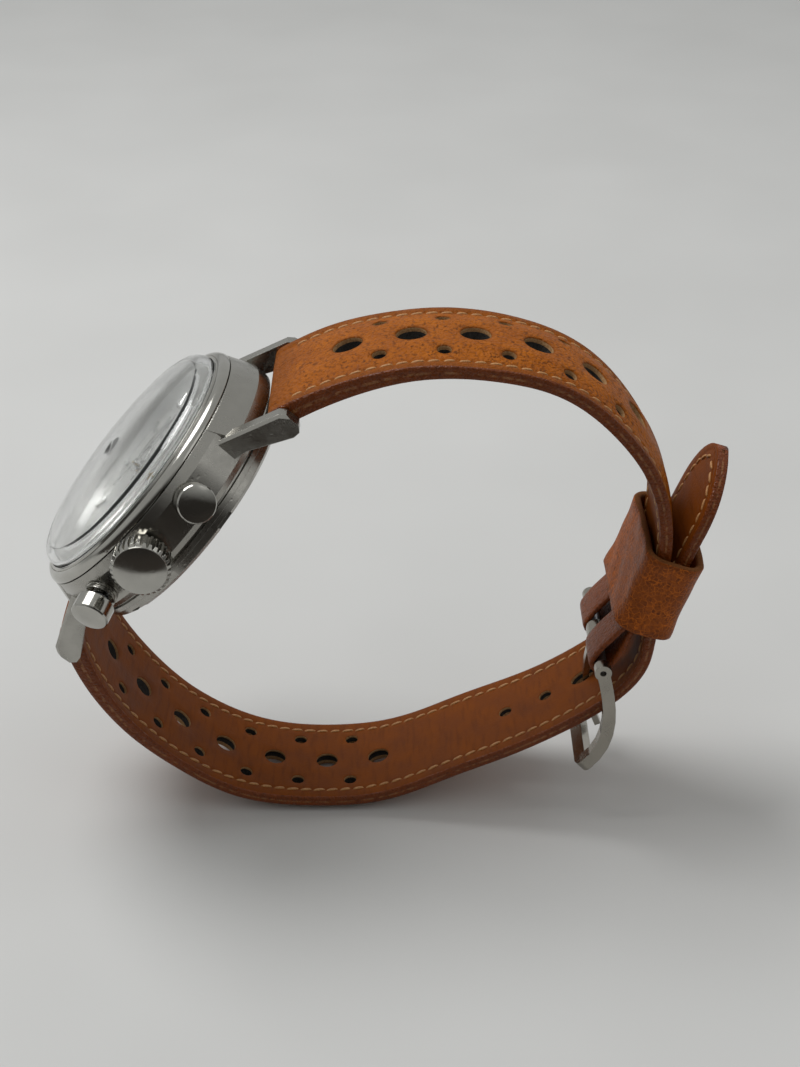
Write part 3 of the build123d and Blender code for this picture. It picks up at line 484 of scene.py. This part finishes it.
# Columns across a strap, as distances from the middle of a 20 mm strap. They crowd at the stitch line.
MARGIN = (9.65, 9.3, 8.9, 8.55, 8.3, 8.1, 7.95, 7.75, 7.5, 7.2)
CENTRE = [0.5 * i for i in range(-14, 15)]
COLUMNS = [-c for c in MARGIN] + CENTRE + list(reversed(MARGIN))
STITCH_IN = 1.95             # stitch line, in from the edge
EDGE_STEPS = 10
OUTER_FACE, LINING_FACE, EDGE_FACE, RAW_FACE, CORE_FACE = range(5)
STRAP_MATERIALS = [OUTER, LINING, EDGE, RAW_CUT, CORE]


class Strap:
    """One strap half: crowned outer face, flat lining, rounded seamed edges and punched holes."""

    def __init__(self, name, route, end, width, edge_half, pad, wavy):
        self.name, self.route, self.end = name, route, end
        self.width, self.edge_half, self.pad = width, edge_half, pad
        self.wavy = wavy
        self.holes = []

    def half(self, s):
        return self.width(s) / 2

    def column_x(self, c, s):
        """Where column c lies at s: the margins keep their width as far as the strap allows."""
        half = self.half(s)
        margin = min(3.0, 0.45 * half)
        if abs(c) <= 7.0:
            return c / 7.0 * (half - margin)
        return math.copysign(half - (10 - abs(c)) * margin / 3.0, c)

    def inset(self, s):
        """How far the rounded edge reaches in."""
        return min(0.35, 0.1 * self.half(s))

    def squeeze(self, s):
        """Thickness share where the leather is folded round a bar."""
        if s < 0:
            return math.sqrt(max(0.0, 1 - (s / LUG_HALF) ** 2))
        return 1.0

    def top(self, s, x):
        """Height of the outer face: padded in the middle, drawn in along the stitches."""
        from_edge = self.half(s) - abs(x)
        rise = self.pad(s) * smoothstep(1.9, 6.2, from_edge)
        groove = 0.20 * math.exp(-(((from_edge - STITCH_IN) / 0.33) ** 2))
        shoulder = 0.10 * smoothstep(0.9, 0.0, from_edge)
        h = self.edge_half(s) + rise - groove - shoulder
        return h * self.squeeze(s)

    def bottom(self, s, x):
        """Height of the lining, which is flat but for the pull of the stitches."""
        from_edge = self.half(s) - abs(x)
        groove = 0.10 * math.exp(-(((from_edge - STITCH_IN) / 0.3) ** 2))
        return -(self.edge_half(s) - groove - 0.08 * smoothstep(0.8, 0.0, from_edge)) * self.squeeze(s)

    def place(self, s, x, h):
        """Point of the strap, with the slight waviness of its edges."""
        edge_drop = self.wavy * math.sin(s * 0.33 + 1.3 * (x > 0)) * (x / 10) ** 2
        return self.route.place(s, x, h + edge_drop)

    def hole(self, s, x, along, across, ledge=0.0):
        """A punched hole; the lining's opening is smaller by the ledge."""
        self.holes.append((s, x, along, across, ledge))

    def punch(self, big, small, ledge):
        """A row of big holes down the middle and a row of small ones on each side of it."""
        first, pitch, count = big
        for k in range(count):
            self.hole(first + pitch * k, 0.0, BIG_HOLE, BIG_HOLE, ledge)
        first, pitch, count = small
        for k in range(count):
            for side in (1, -1):
                self.hole(first + pitch * k, side * SMALL_ROW_X, SMALL_HOLE, SMALL_HOLE)

    def rows(self):
        """Places of the cross sections; they crowd round the spring bar."""
        marks = list(np.arange(ROW_STEP / 2 - LUG_HALF, self.end, ROW_STEP))
        front = [-LUG_HALF * math.cos(0.5 * math.pi * i / 7) for i in range(7)]
        marks = front + [m for m in marks if m > front[-1] + 0.3]
        if self.end - marks[-1] > 0.1:
            marks.append(self.end)
        marks[-1] = self.end
        return marks

    def build(self, replaced):
        """Makes the mesh: rings of points along the route, with a collar of faces in every hole."""
        rows = self.rows()
        top_cols = len(COLUMNS)
        ring = 2 * top_cols + 2 * EDGE_STEPS
        points, wear, seam, faces, kinds = [], [], [], [], []

        def add(s, x, h, worn=0.0, at_seam=0.0):
            points.append(self.place(s, x, h))
            wear.append(worn)
            seam.append(at_seam)
            return len(points) - 1

        def wear_at(s, x):
            from_edge = self.half(s) - abs(x)
            return max(smoothstep(3.4, 0.6, from_edge), 0.75 * smoothstep(4.0, 0.0, s))

        for s in rows:
            half, inset = self.half(s), self.inset(s)
            for c in COLUMNS:
                x = self.column_x(c, s)
                add(s, x, self.top(s, x), wear_at(s, x))
            for side in (1, -1):
                edge_x = half - inset
                high, low = self.top(s, edge_x), self.bottom(s, edge_x)
                for i in range(EDGE_STEPS):
                    angle = math.pi * (0.5 - (i + 1) / (EDGE_STEPS + 1)) * side
                    bulge = inset * abs(math.cos(angle)) ** 0.55
                    at_seam = math.exp(-((angle / 0.24) ** 2))
                    x = edge_x + bulge - 0.10 * at_seam
                    h = (high + low) / 2 + (high - low) / 2 * math.sin(angle)
                    add(s, side * x, h, 0.9, at_seam)
                if side > 0:
                    for c in reversed(COLUMNS):
                        x = self.column_x(c, s)
                        add(s, x, self.bottom(s, x), 0.4 * wear_at(s, x))

        def top_index(i, j):
            return i * ring + j

        def bottom_index(i, j):
            return i * ring + top_cols + EDGE_STEPS + (top_cols - 1 - j)

        cut = set()
        for s, x, along, across, ledge in self.holes:
            i0 = max(i for i, v in enumerate(rows) if v < s - along - 0.45)
            i1 = min(i for i, v in enumerate(rows) if v > s + along + 0.45)
            xs = [self.column_x(c, s) for c in COLUMNS]
            j0 = max(j for j, v in enumerate(xs) if v < x - across - 0.4)
            j1 = min(j for j, v in enumerate(xs) if v > x + across + 0.4)
            cut |= {(i, j) for i in range(i0, i1) for j in range(j0, j1)}
            loop = [(i0, j) for j in range(j0, j1)] + [(i, j1) for i in range(i0, i1)]
            loop += [(i1, j) for j in range(j1, j0, -1)] + [(i, j0) for i in range(i1, i0, -1)]
            angles = [math.atan2((xs[j] - x) / across, (rows[i] - s) / along) for i, j in loop]

            def circle(grow, height, worn=0.0):
                made = []
                for angle in angles:
                    at_s = s + (along + grow) * math.cos(angle)
                    at_x = x + (across + grow) * math.sin(angle)
                    made.append(add(at_s, at_x, height(at_s, at_x), worn))
                return made

            leather_skin = min(0.75, 0.45 * (self.top(s, x) - self.bottom(s, x)))
            rings = [
                ([top_index(i, j) for i, j in loop], OUTER_FACE),
                (circle(0.22, lambda a, b: self.top(a, b) - 0.015, 0.3), OUTER_FACE),
                (circle(0.05, lambda a, b: self.top(a, b) - 0.09, 1.0), OUTER_FACE),
                (circle(-0.03, lambda a, b: self.top(a, b) - 0.2, 1.0), RAW_FACE),
                (circle(-0.04, lambda a, b: self.top(a, b) - leather_skin), CORE_FACE),
                (circle(-0.02, lambda a, b: self.bottom(a, b) + 0.45), CORE_FACE),
                (circle(-ledge - 0.03, lambda a, b: self.bottom(a, b) + 0.40), RAW_FACE),
                (circle(-ledge, lambda a, b: self.bottom(a, b) + 0.06), LINING_FACE),
                (circle(-ledge + 0.12, lambda a, b: self.bottom(a, b)), LINING_FACE),
                ([bottom_index(i, j) for i, j in loop], LINING_FACE),
            ]
            for (upper, kind), (lower, _) in zip(rings, rings[1:]):
                for k in range(len(loop)):
                    n = (k + 1) % len(loop)
                    faces.append((upper[k], upper[n], lower[n], lower[k]))
                    kinds.append(kind)

        for i in range(len(rows) - 1):
            for j in range(ring):
                n = (j + 1) % ring
                if j < top_cols - 1:
                    kind = OUTER_FACE
                    if (i, j) in cut:
                        continue
                elif top_cols + EDGE_STEPS <= j < 2 * top_cols + EDGE_STEPS - 1:
                    kind = LINING_FACE
                    if (i, 2 * top_cols + EDGE_STEPS - 2 - j) in cut:
                        continue
                else:
                    kind = EDGE_FACE
                faces.append((i * ring + j, i * ring + n, (i + 1) * ring + n, (i + 1) * ring + j))
                kinds.append(kind)
        for i in (0, len(rows) - 1):
            for j in range(top_cols - 1):
                above = (top_index(i, j), top_index(i, j + 1))
                faces.append((*above, bottom_index(i, j + 1), bottom_index(i, j)))
                kinds.append(EDGE_FACE)
            for side, first in ((1, top_cols), (-1, 2 * top_cols + EDGE_STEPS)):
                low = i * ring + first
                for k in range(EDGE_STEPS // 2 - 1):
                    faces.append((low + k, low + k + 1, low + EDGE_STEPS - 2 - k, low + EDGE_STEPS - 1 - k))
                    kinds.append(EDGE_FACE)
                corner = top_cols - 1 if side > 0 else 0
                rim = (low, low + EDGE_STEPS - 1) if side > 0 else (low + EDGE_STEPS - 1, low)
                faces.append((top_index(i, corner), rim[0], rim[1], bottom_index(i, corner)))
                kinds.append(EDGE_FACE)
        obj = new_object(self.name, points, faces, STRAP_MATERIALS, kinds)
        give_attribute(obj, "wear", wear)
        give_attribute(obj, "seam", seam)
        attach(weld(obj), "case")
        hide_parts(replaced)

    def outline(self, inset, first, last):
        """Points (s, x) along one edge, inset from it, up to where it meets the middle line."""
        marks = np.linspace(first, last, 900)
        line = []
        for s in marks:
            ds = 0.02
            slope = (self.half(min(s + ds, self.end)) - self.half(s - ds)) / (min(s + ds, self.end) - s + ds)
            norm = math.hypot(1, slope)
            at_s, at_x = s + inset * slope / norm, self.half(s) - inset / norm
            if at_x > 0 and (not line or at_s > line[-1][0] - 1.0):
                line.append((at_s, at_x))
        return line


def bead(length, radius, segments=8, rings=7):
    """One stitch lying along +X: a thread that comes up, lies flat and goes down again."""
    vertices, faces = [], []
    for i in range(rings):
        t = i / (rings - 1)
        fat = radius * (0.35 + 0.65 * math.sin(math.pi * t) ** 0.5)
        along = (t - 0.5) * length
        sink = -0.55 * radius * (2 * t - 1) ** 4
        for k in range(segments):
            a = 2 * math.pi * k / segments
            vertices.append((along, fat * math.cos(a), sink + fat * 0.8 * math.sin(a)))
    for i in range(rings - 1):
        for k in range(segments):
            n = (k + 1) % segments
            faces.append((i * segments + k, i * segments + n, (i + 1) * segments + n, (i + 1) * segments + k))
    faces.append(tuple(reversed(range(segments))))
    faces.append(tuple(range((rings - 1) * segments, rings * segments)))
    return vertices, faces


STITCH_PITCH = 1.95
STITCH_LENGTH = 1.72
STITCH_R = 0.235


def stitch_row(strap, line, face, lift, sign):
    """Stitches along a line of (s, x) points on one face of a strap."""
    line = np.array(line)
    gaps = np.linalg.norm(np.diff(line, axis=0), axis=1)
    run = np.r_[0, np.cumsum(gaps)]
    vertices, faces = [], []
    shape, shape_faces = bead(STITCH_LENGTH, STITCH_R)
    count = int(run[-1] / STITCH_PITCH)
    for n in range(count):
        middle = (n + 0.5) * run[-1] / count
        s, x = (np.interp(middle, run, line[:, k]) for k in (0, 1))
        s1, x1 = (np.interp(middle + 0.2, run, line[:, k]) for k in (0, 1))
        at = strap.place(s, x * sign, face(s, x) + lift)
        ahead = strap.place(s1, x1 * sign, face(s1, x1) + lift)
        up = (strap.place(s, x * sign, face(s, x) + lift + 0.5) - at).normalized()
        along = (ahead - at).normalized()
        if lift < 0:
            up = -up
        side = up.cross(along).normalized()
        slant = Matrix.Rotation(math.radians(9 + random.uniform(-3, 3)), 3, up)
        along, side = slant @ along, slant @ side
        grow = random.uniform(0.92, 1.08)
        base = len(vertices)
        for a, b, c in shape:
            vertices.append(at + (along * a * grow + side * b + up * c) * MM)
        faces += [tuple(base + i for i in f) for f in shape_faces]
    return vertices, faces


def joined(parts):
    """One list of vertices and one of faces from several."""
    vertices, faces = [], []
    for part_vertices, part_faces in parts:
        faces += [tuple(len(vertices) + i for i in face) for face in part_faces]
        vertices += part_vertices
    return vertices, faces


def stitches(name, strap, last):
    """All the stitches of a strap half, on the outer face and the lining, up to last."""
    line = strap.outline(STITCH_IN, 2.2, last)
    rows = []
    for sign in (1, -1):
        for face, lift in ((strap.top, 0.07), (strap.bottom, -0.06)):
            rows.append(stitch_row(strap, line, face, lift, sign))
    vertices, faces = joined(rows)
    obj = new_object(name, vertices, faces, [THREAD])
    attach(weld(obj, 1e-9), "case")


upper = Strap(
    "strap_upper_leather",
    UPPER,
    UPPER.length - FOLD_RUN,
    lambda s: lerp(LUG_WIDTH, UPPER_END_WIDTH, s / UPPER.length),
    lambda s: lerp(1.45, 0.92, s / 26),
    lambda s: lerp(0.12, 0.62, s / 8) * lerp(1.0, 0.35, (s - 55) / 20),
    wavy=0.12,
)
upper.punch(UPPER_BIG, UPPER_SMALL, 0.5)
upper.build("strap_upper")
stitches("strap_upper_stitches", upper, upper.end - 0.5)


def tail_width(s):
    """Width of the tail half, which ends in a rounded point."""
    full = lerp(LUG_WIDTH, LOWER_END_WIDTH, s / LOWER.length)
    left = LOWER.length - s
    if left < TIP:
        full *= max(0.02, 1 - (1 - left / TIP) ** 2.1) ** 0.62
    return full


lower = Strap(
    "strap_lower_leather",
    LOWER,
    LOWER.length,
    tail_width,
    lambda s: lerp(1.45, 0.85, s / 26),
    lambda s: lerp(0.12, 0.55, s / 8) * lerp(1.0, 0.0, (s - 60) / 16),
    wavy=0.10,
)
lower.punch(LOWER_BIG, LOWER_SMALL, 0.4)
for k in range(-2, 3):
    along, across = WORN_HOLE if k == 0 else TONGUE_HOLE
    lower.hole(USED_HOLE + TONGUE_PITCH * k, 0.0, along, across)
lower.build("strap_lower")
stitches("strap_lower_stitches", lower, lower.end)


# ---- open fold of the buckle half ----------------------------------------------------

RIBBON_SIDES = 12
FOLD_SKIN = 0.86
FOLD_GAP = 0.46              # half the distance between the two layers where they meet
FOLD_RADIUS = 1.38           # middle of the skin as it goes round the hinge bar
TONGUE_SLOT = 1.75           # half the slot that parts the fold
FOLD_HALF = 8.0


def ribbon(path, thick, x0, x1):
    """Leather strip along (y, z) points in mm, from x0 to x1, with softly rounded edges."""
    path = np.array(path, float)
    count = len(path)
    section = []
    for i in range(RIBBON_SIDES):
        angle = 2 * math.pi * (i + 0.5) / RIBBON_SIDES
        across = math.copysign(abs(math.cos(angle)) ** 0.22, math.cos(angle))
        section.append((across, math.copysign(abs(math.sin(angle)) ** 0.6, math.sin(angle))))
    vertices, faces = [], []
    for i in range(count):
        ahead = path[min(i + 1, count - 1)] - path[max(i - 1, 0)]
        ahead /= np.linalg.norm(ahead)
        for across, up in section:
            y, z = path[i] + np.array([-ahead[1], ahead[0]]) * up * thick / 2
            vertices.append(Vector(((x0 + x1) / 2 + (x1 - x0) / 2 * across, y, z)) * MM)
    for i in range(count - 1):
        here, there = i * RIBBON_SIDES, (i + 1) * RIBBON_SIDES
        for k in range(RIBBON_SIDES):
            n = (k + 1) % RIBBON_SIDES
            faces.append((here + k, here + n, there + n, there + k))
    faces.append(tuple(reversed(range(RIBBON_SIDES))))
    faces.append(tuple(range((count - 1) * RIBBON_SIDES, count * RIBBON_SIDES)))
    return vertices, faces


def buckle_fold():
    """The skin goes round the hinge bar and comes back, leaving an eye; the tongue's slot parts it."""
    start, end = UPPER.length - FOLD_RUN - 1.4, UPPER.length - 1.0
    legs = []
    for side in (1, -1):
        leg = []
        for s in np.linspace(start, end, 14):
            t = (s - start) / (end - start)
            gap = lerp(FOLD_GAP, FOLD_RADIUS, smoothstep(0.1, 1.0, t))
            ty, tz = UPPER.tangent(s)
            leg.append(UPPER.point(s) + np.array([-tz, ty]) * gap * side)
        legs.append(leg)
    ahead = UPPER.tangent(UPPER.length)
    out = np.array([-ahead[1], ahead[0]])
    turn = []
    for i in range(1, 12):
        angle = math.pi * i / 12
        turn.append(np.array(HINGE) + FOLD_RADIUS * (out * math.cos(angle) + ahead * math.sin(angle)))
    path = legs[0] + turn + legs[1][::-1]
    sides = ((-FOLD_HALF, -TONGUE_SLOT), (TONGUE_SLOT, FOLD_HALF))
    vertices, faces = joined(ribbon(path, FOLD_SKIN, x0, x1) for x0, x1 in sides)
    obj = new_object("strap_buckle_fold", vertices, faces, [EDGE])
    give_attribute(obj, "wear", [0.5] * len(vertices))
    give_attribute(obj, "seam", [0.0] * len(vertices))
    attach(obj, "case")


buckle_fold()

# ---- keeper ---------------------------------------------------------------------------

KEEPER_CENTRE = (63.6, -9.07)
KEEPER_LEAN = math.radians(19.0)
KEEPER_LENGTH = 11.6
KEEPER_SKIN = 1.1
KEEPER_WIDTH = 17.4
KEEPER_DEPTH = 6.0
KEEPER_CORNER = 2.7
KEEPER_STEPS = 28            # points along the outside
KEEPER_AROUND = 120
KEEPER_FLARE = 0.22          # how far the ends stand out
OUTSIDE, CUT, INSIDE = range(3)
# The rounded rim at one end: share of the keeper's length, depth into the skin, material.
RIM = [(0.512, 0.10, OUTSIDE), (0.522, 0.28, CUT), (0.524, 0.55, CUT), (0.520, 0.85, CUT), (0.506, 1.06, CUT)]
RIM_MIDDLE = 0.6             # depth that parts the outer half of the skin from the inner


def loop_outline(turn):
    """Point and normal on the keeper's outer outline, a rounded rectangle walked once as turn goes 0 to 1."""
    half = np.array([KEEPER_WIDTH / 2 + KEEPER_SKIN, KEEPER_DEPTH / 2 + KEEPER_SKIN])
    half -= KEEPER_CORNER
    quarter = math.pi / 2 * KEEPER_CORNER
    left = turn * (4 * half.sum() + 4 * quarter)
    signs = [(1, 1), (-1, 1), (-1, -1), (1, -1)]
    for leg in range(4):
        flat = 2 * half[(leg + 1) % 2]
        angle = leg * math.pi / 2
        normal = np.array([math.cos(angle), math.sin(angle)])
        centre = half * signs[leg]
        if left <= flat:
            ahead = np.array([-normal[1], normal[0]])
            return centre + normal * KEEPER_CORNER - ahead * (flat - left), normal
        left -= flat
        if left <= quarter or leg == 3:
            angle += left / KEEPER_CORNER
            normal = np.array([math.cos(angle), math.sin(angle)])
            return centre + normal * KEEPER_CORNER, normal
        left -= quarter


def keeper():
    """Loop of one leather strip: soft corners, slightly flared and uneven, raw leather at the cut rims."""
    along = np.array([math.sin(KEEPER_LEAN), math.cos(KEEPER_LEAN)])
    outward = np.array([along[1], -along[0]])
    walk = [(-0.5 + i / KEEPER_STEPS, 0.0, OUTSIDE) for i in range(KEEPER_STEPS + 1)]
    walk += RIM
    walk += [(0.48 - 0.96 * i / 8, KEEPER_SKIN, INSIDE) for i in range(9)]
    walk += [(-t, inset, kind) for t, inset, kind in reversed(RIM)]
    vertices, wear = [], []
    for k in range(KEEPER_AROUND):
        edge_point, normal = loop_outline(k / KEEPER_AROUND)
        for t, inset, kind in walk:
            x, n = edge_point - normal * inset
            flare = KEEPER_FLARE * smoothstep(0.22, 0.5, abs(t))
            uneven = 0.09 * math.sin(7.1 * t + 0.9 * x) * math.cos(1.3 * n + 4.0 * t)
            push = flare + uneven if inset < RIM_MIDDLE else KEEPER_FLARE
            u = t * KEEPER_LENGTH + 0.16 * math.sin(0.35 * x + 1.0) * (1 if t > 0 else -0.6)
            y, z = KEEPER_CENTRE + along * u + outward * (n + normal[1] * push)
            vertices.append(Vector((x + normal[0] * push, y, z)) * MM)
            corner = 1.0 if min(abs(normal[0]), abs(normal[1])) > 0.1 else 0.0
            wear.append(max(0.85 if kind == OUTSIDE and abs(t) > 0.44 else 0.0, 0.5 * corner))
    count = len(walk)
    faces, kinds = [], []
    for k in range(KEEPER_AROUND):
        m = (k + 1) % KEEPER_AROUND
        for i in range(count):
            n = (i + 1) % count
            faces.append((k * count + i, m * count + i, m * count + n, k * count + n))
            kinds.append(CUT if CUT in (walk[i][2], walk[n][2]) else walk[i][2])
    obj = new_object("keeper_leather", vertices, faces, [KEEPER_LEATHER, KEEPER_RIM, LINING], kinds)
    give_attribute(obj, "wear", wear)
    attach(obj, "keeper")
    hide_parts("keeper")


keeper()

# ---- dial printing ----------------------------------------------------------------------

DIAL_TOP = 8.35
SUBDIAL_TOP = DIAL_TOP - 0.1
SUBDIAL_X = 6.6
TRACK_R = 14.9
SUBTRACK_R = 3.9
SECONDS_FIGURES = (-SUBDIAL_X, 2.45, 0.95, ("60", "15", "30", "45"))   # middle, radius, size, figures
MINUTES_FIGURES = (SUBDIAL_X, 2.4, 1.0, ("30", "10", "20"))
INK = (0.01, 0.015)          # how far printing reaches below and above the dial


def on_dial(x, y, z):
    """Point of the watch frame, in mm, carried to its place."""
    c, s = math.cos(DIAL_TILT), math.sin(DIAL_TILT)
    return Vector((x, y * c - z * s, y * s + z * c)) * MM


def ink():
    """Dark grey dial printing."""
    s = Shader("dial ink", Base_Color=(0.05, 0.05, 0.055, 1))
    s.set("Roughness", s.span(s.noise(0.0005), 0.3, 0.7, 0.4, 0.6))
    return s.material


def ticks(centre, radius, count, lengths, widths, z):
    """Strokes round a centre. Every k-th stroke has the length and width listed for the largest such k."""
    vertices, faces = [], []
    for i in range(count):
        level = max(k for k in lengths if i % k == 0)
        length, width = lengths[level], widths[level]
        angle = 2 * math.pi * i / count
        radial = np.array([math.sin(angle), math.cos(angle)])
        side = np.array([radial[1], -radial[0]]) * width / 2
        inner, outer = radial * (radius - length), radial * radius
        corners = [inner - side, inner + side, outer + side, outer - side]
        base = len(vertices)
        for height in (z - INK[0], z + INK[1]):
            for px, py in corners:
                vertices.append(on_dial(centre + px, py, height))
        faces += [(base, base + 3, base + 2, base + 1), (base + 4, base + 5, base + 6, base + 7)]
        for k in range(4):
            n = (k + 1) % 4
            faces.append((base + k, base + n, base + 4 + n, base + 4 + k))
    return vertices, faces


def numeral(text, x, y, size, z):
    """A printed figure as mesh data in the watch frame."""
    curve = bpy.data.curves.new("figure", "FONT")
    curve.body = text
    curve.size = size
    curve.align_x = "CENTER"
    curve.align_y = "CENTER"
    curve.extrude = 0.012
    holder = bpy.data.objects.new("figure", curve)
    bpy.context.scene.collection.objects.link(holder)
    mesh = bpy.data.meshes.new_from_object(holder.evaluated_get(bpy.context.evaluated_depsgraph_get()))
    vertices = [on_dial(x + v.co.x, y + v.co.y, z + v.co.z) for v in mesh.vertices]
    faces = [tuple(p.vertices) for p in mesh.polygons]
    bpy.data.objects.remove(holder)
    bpy.data.curves.remove(curve)
    bpy.data.meshes.remove(mesh)
    return vertices, faces


def dial_printing():
    """Minute track, the tracks of both sub-dials and their figures."""
    prints = [
        ticks(0, TRACK_R, 60, {1: 0.6, 5: 0.8}, {1: 0.09, 5: 0.2}, DIAL_TOP),
        ticks(
            -SUBDIAL_X, SUBTRACK_R, 60, {1: 0.35, 5: 0.6, 15: 0.8}, {1: 0.05, 5: 0.09, 15: 0.12}, SUBDIAL_TOP
        ),
        ticks(SUBDIAL_X, SUBTRACK_R, 30, {1: 0.4, 5: 0.7}, {1: 0.06, 5: 0.11}, SUBDIAL_TOP),
    ]
    for middle, radius, size, texts in (SECONDS_FIGURES, MINUTES_FIGURES):
        for i, text in enumerate(texts):
            angle = 2 * math.pi * i / len(texts)
            x, y = middle + radius * math.sin(angle), radius * math.cos(angle)
            prints.append(numeral(text, x, y, size, SUBDIAL_TOP))
    vertices, faces = joined(prints)
    obj = new_object("dial_printing", vertices, faces, [ink()], smooth=False)
    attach(obj, "case")


dial_printing()

# ---- floor, light and camera -------------------------------------------------------

FLOOR_GAP = 0.0004
FLOOR_HALF = 2.5
PAINTED_REFLECTION_EDGE = (0.098, 0.112)  # where the floor is painted dark for glossy rays only: a painted dark reflection
ROOM_LIGHT = 0.60
ROOM_PALE = (0.80, 0.81, 0.80, 1)
ROOM_DARK = (0.06, 0.055, 0.05, 1)
ROOM_DARK_FROM = 0.5         # how far to the crown's side the room is fully dark
ROOM_RISE = -1.1             # how soon it turns pale again upward
LENS = 64.05
CAMERA_AT = (0.22773, 0.02823, 0.12872)
CAMERA_DOWN = 30.25          # degrees below level
MIDDLE = (0, 0.028, -0.01)   # what the lights point at
KEY_AT = (-0.12, -0.18, 0.50)
FILL_AT = (0.25, 0.40, 0.40)
LIGHT_SIZE = 0.35


def floor():
    """Pale floor. For glossy rays only, its front towards the crown is painted dark: a painted dark
    reflection in polished metal, as if the floor ended at the edge of a small table.
    """
    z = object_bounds()[0].z - FLOOR_GAP
    half = FLOOR_HALF
    corners = [(-half, -half, z), (half, -half, z), (half, half, z), (-half, half, z)]
    obj = new_object("floor", corners, [(0, 1, 2, 3)], [])
    s = Shader("pale floor", Specular_IOR_Level=0.2)
    s.surface.inputs["Roughness"].default_value = 0.85
    pale = s.ramp(s.noise(0.05, 2.0), [(0.3, (0.60, 0.60, 0.59)), (0.7, (0.63, 0.63, 0.62))])
    axes = s.node("ShaderNodeSeparateXYZ", Vector=s.coords)
    # painted dark reflection: beyond this edge the floor turns dark only when seen by glossy rays, so
    # polished metal reflects darkness there
    front = s.span(axes.outputs["X"], *PAINTED_REFLECTION_EDGE)
    seen = s.node("ShaderNodeLightPath").outputs["Is Glossy Ray"]
    s.set("Base Color", s.mix(s.math("MULTIPLY", front, seen), pale, (0.05, 0.042, 0.036)))
    obj.data.materials.append(s.material)
    obj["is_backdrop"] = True


def area(name, location, power):
    """A round soft light aimed at the watch."""
    data = bpy.data.lights.new(name, "AREA")
    data.shape = "DISK"
    data.size = LIGHT_SIZE
    data.energy = power
    obj = bpy.data.objects.new(name, data)
    obj.location = location
    obj.rotation_euler = (Vector(MIDDLE) - Vector(location)).to_track_quat("-Z", "Y").to_euler()
    bpy.context.scene.collection.objects.link(obj)


def world():
    """Even pale room, dark low on the crown's side. The camera itself sees it pale all over."""
    made = bpy.data.worlds.new("studio")
    made.use_nodes = True
    nodes, links = made.node_tree.nodes, made.node_tree.links
    coords = nodes.new("ShaderNodeTexCoord")
    axes = nodes.new("ShaderNodeSeparateXYZ")
    links.new(coords.outputs["Generated"], axes.inputs[0])
    lift = nodes.new("ShaderNodeMath")
    lift.operation = "MULTIPLY_ADD"
    links.new(axes.outputs["Z"], lift.inputs[0])
    lift.inputs[1].default_value = ROOM_RISE
    links.new(axes.outputs["X"], lift.inputs[2])
    ramp = nodes.new("ShaderNodeValToRGB")
    seen = nodes.new("ShaderNodeMath")
    seen.operation = "MULTIPLY_ADD"
    links.new(nodes.new("ShaderNodeLightPath").outputs["Is Camera Ray"], seen.inputs[0])
    seen.inputs[1].default_value = -10
    links.new(lift.outputs[0], seen.inputs[2])
    links.new(seen.outputs[0], ramp.inputs["Fac"])
    ramp.color_ramp.elements[0].position = 0.0
    ramp.color_ramp.elements[0].color = ROOM_PALE
    ramp.color_ramp.elements[1].position = ROOM_DARK_FROM
    ramp.color_ramp.elements[1].color = ROOM_DARK
    background = nodes["Background"]
    links.new(ramp.outputs["Color"], background.inputs["Color"])
    background.inputs["Strength"].default_value = ROOM_LIGHT
    bpy.context.scene.world = made


def camera():
    """In front of the crown, looking down at the watch."""
    data = bpy.data.cameras.new("camera")
    data.sensor_fit = "VERTICAL"
    data.sensor_height = 36
    data.lens = LENS
    data.clip_start = 0.005
    obj = bpy.data.objects.new("camera", data)
    obj.location = CAMERA_AT
    obj.rotation_euler = (math.radians(90 - CAMERA_DOWN), 0, math.radians(90))
    bpy.context.scene.collection.objects.link(obj)
    bpy.context.scene.camera = obj


floor()
world()
camera()
bpy.context.scene.view_settings.view_transform = "Standard"
area("key", KEY_AT, 1.9)
area("fill", FILL_AT, 0.15)
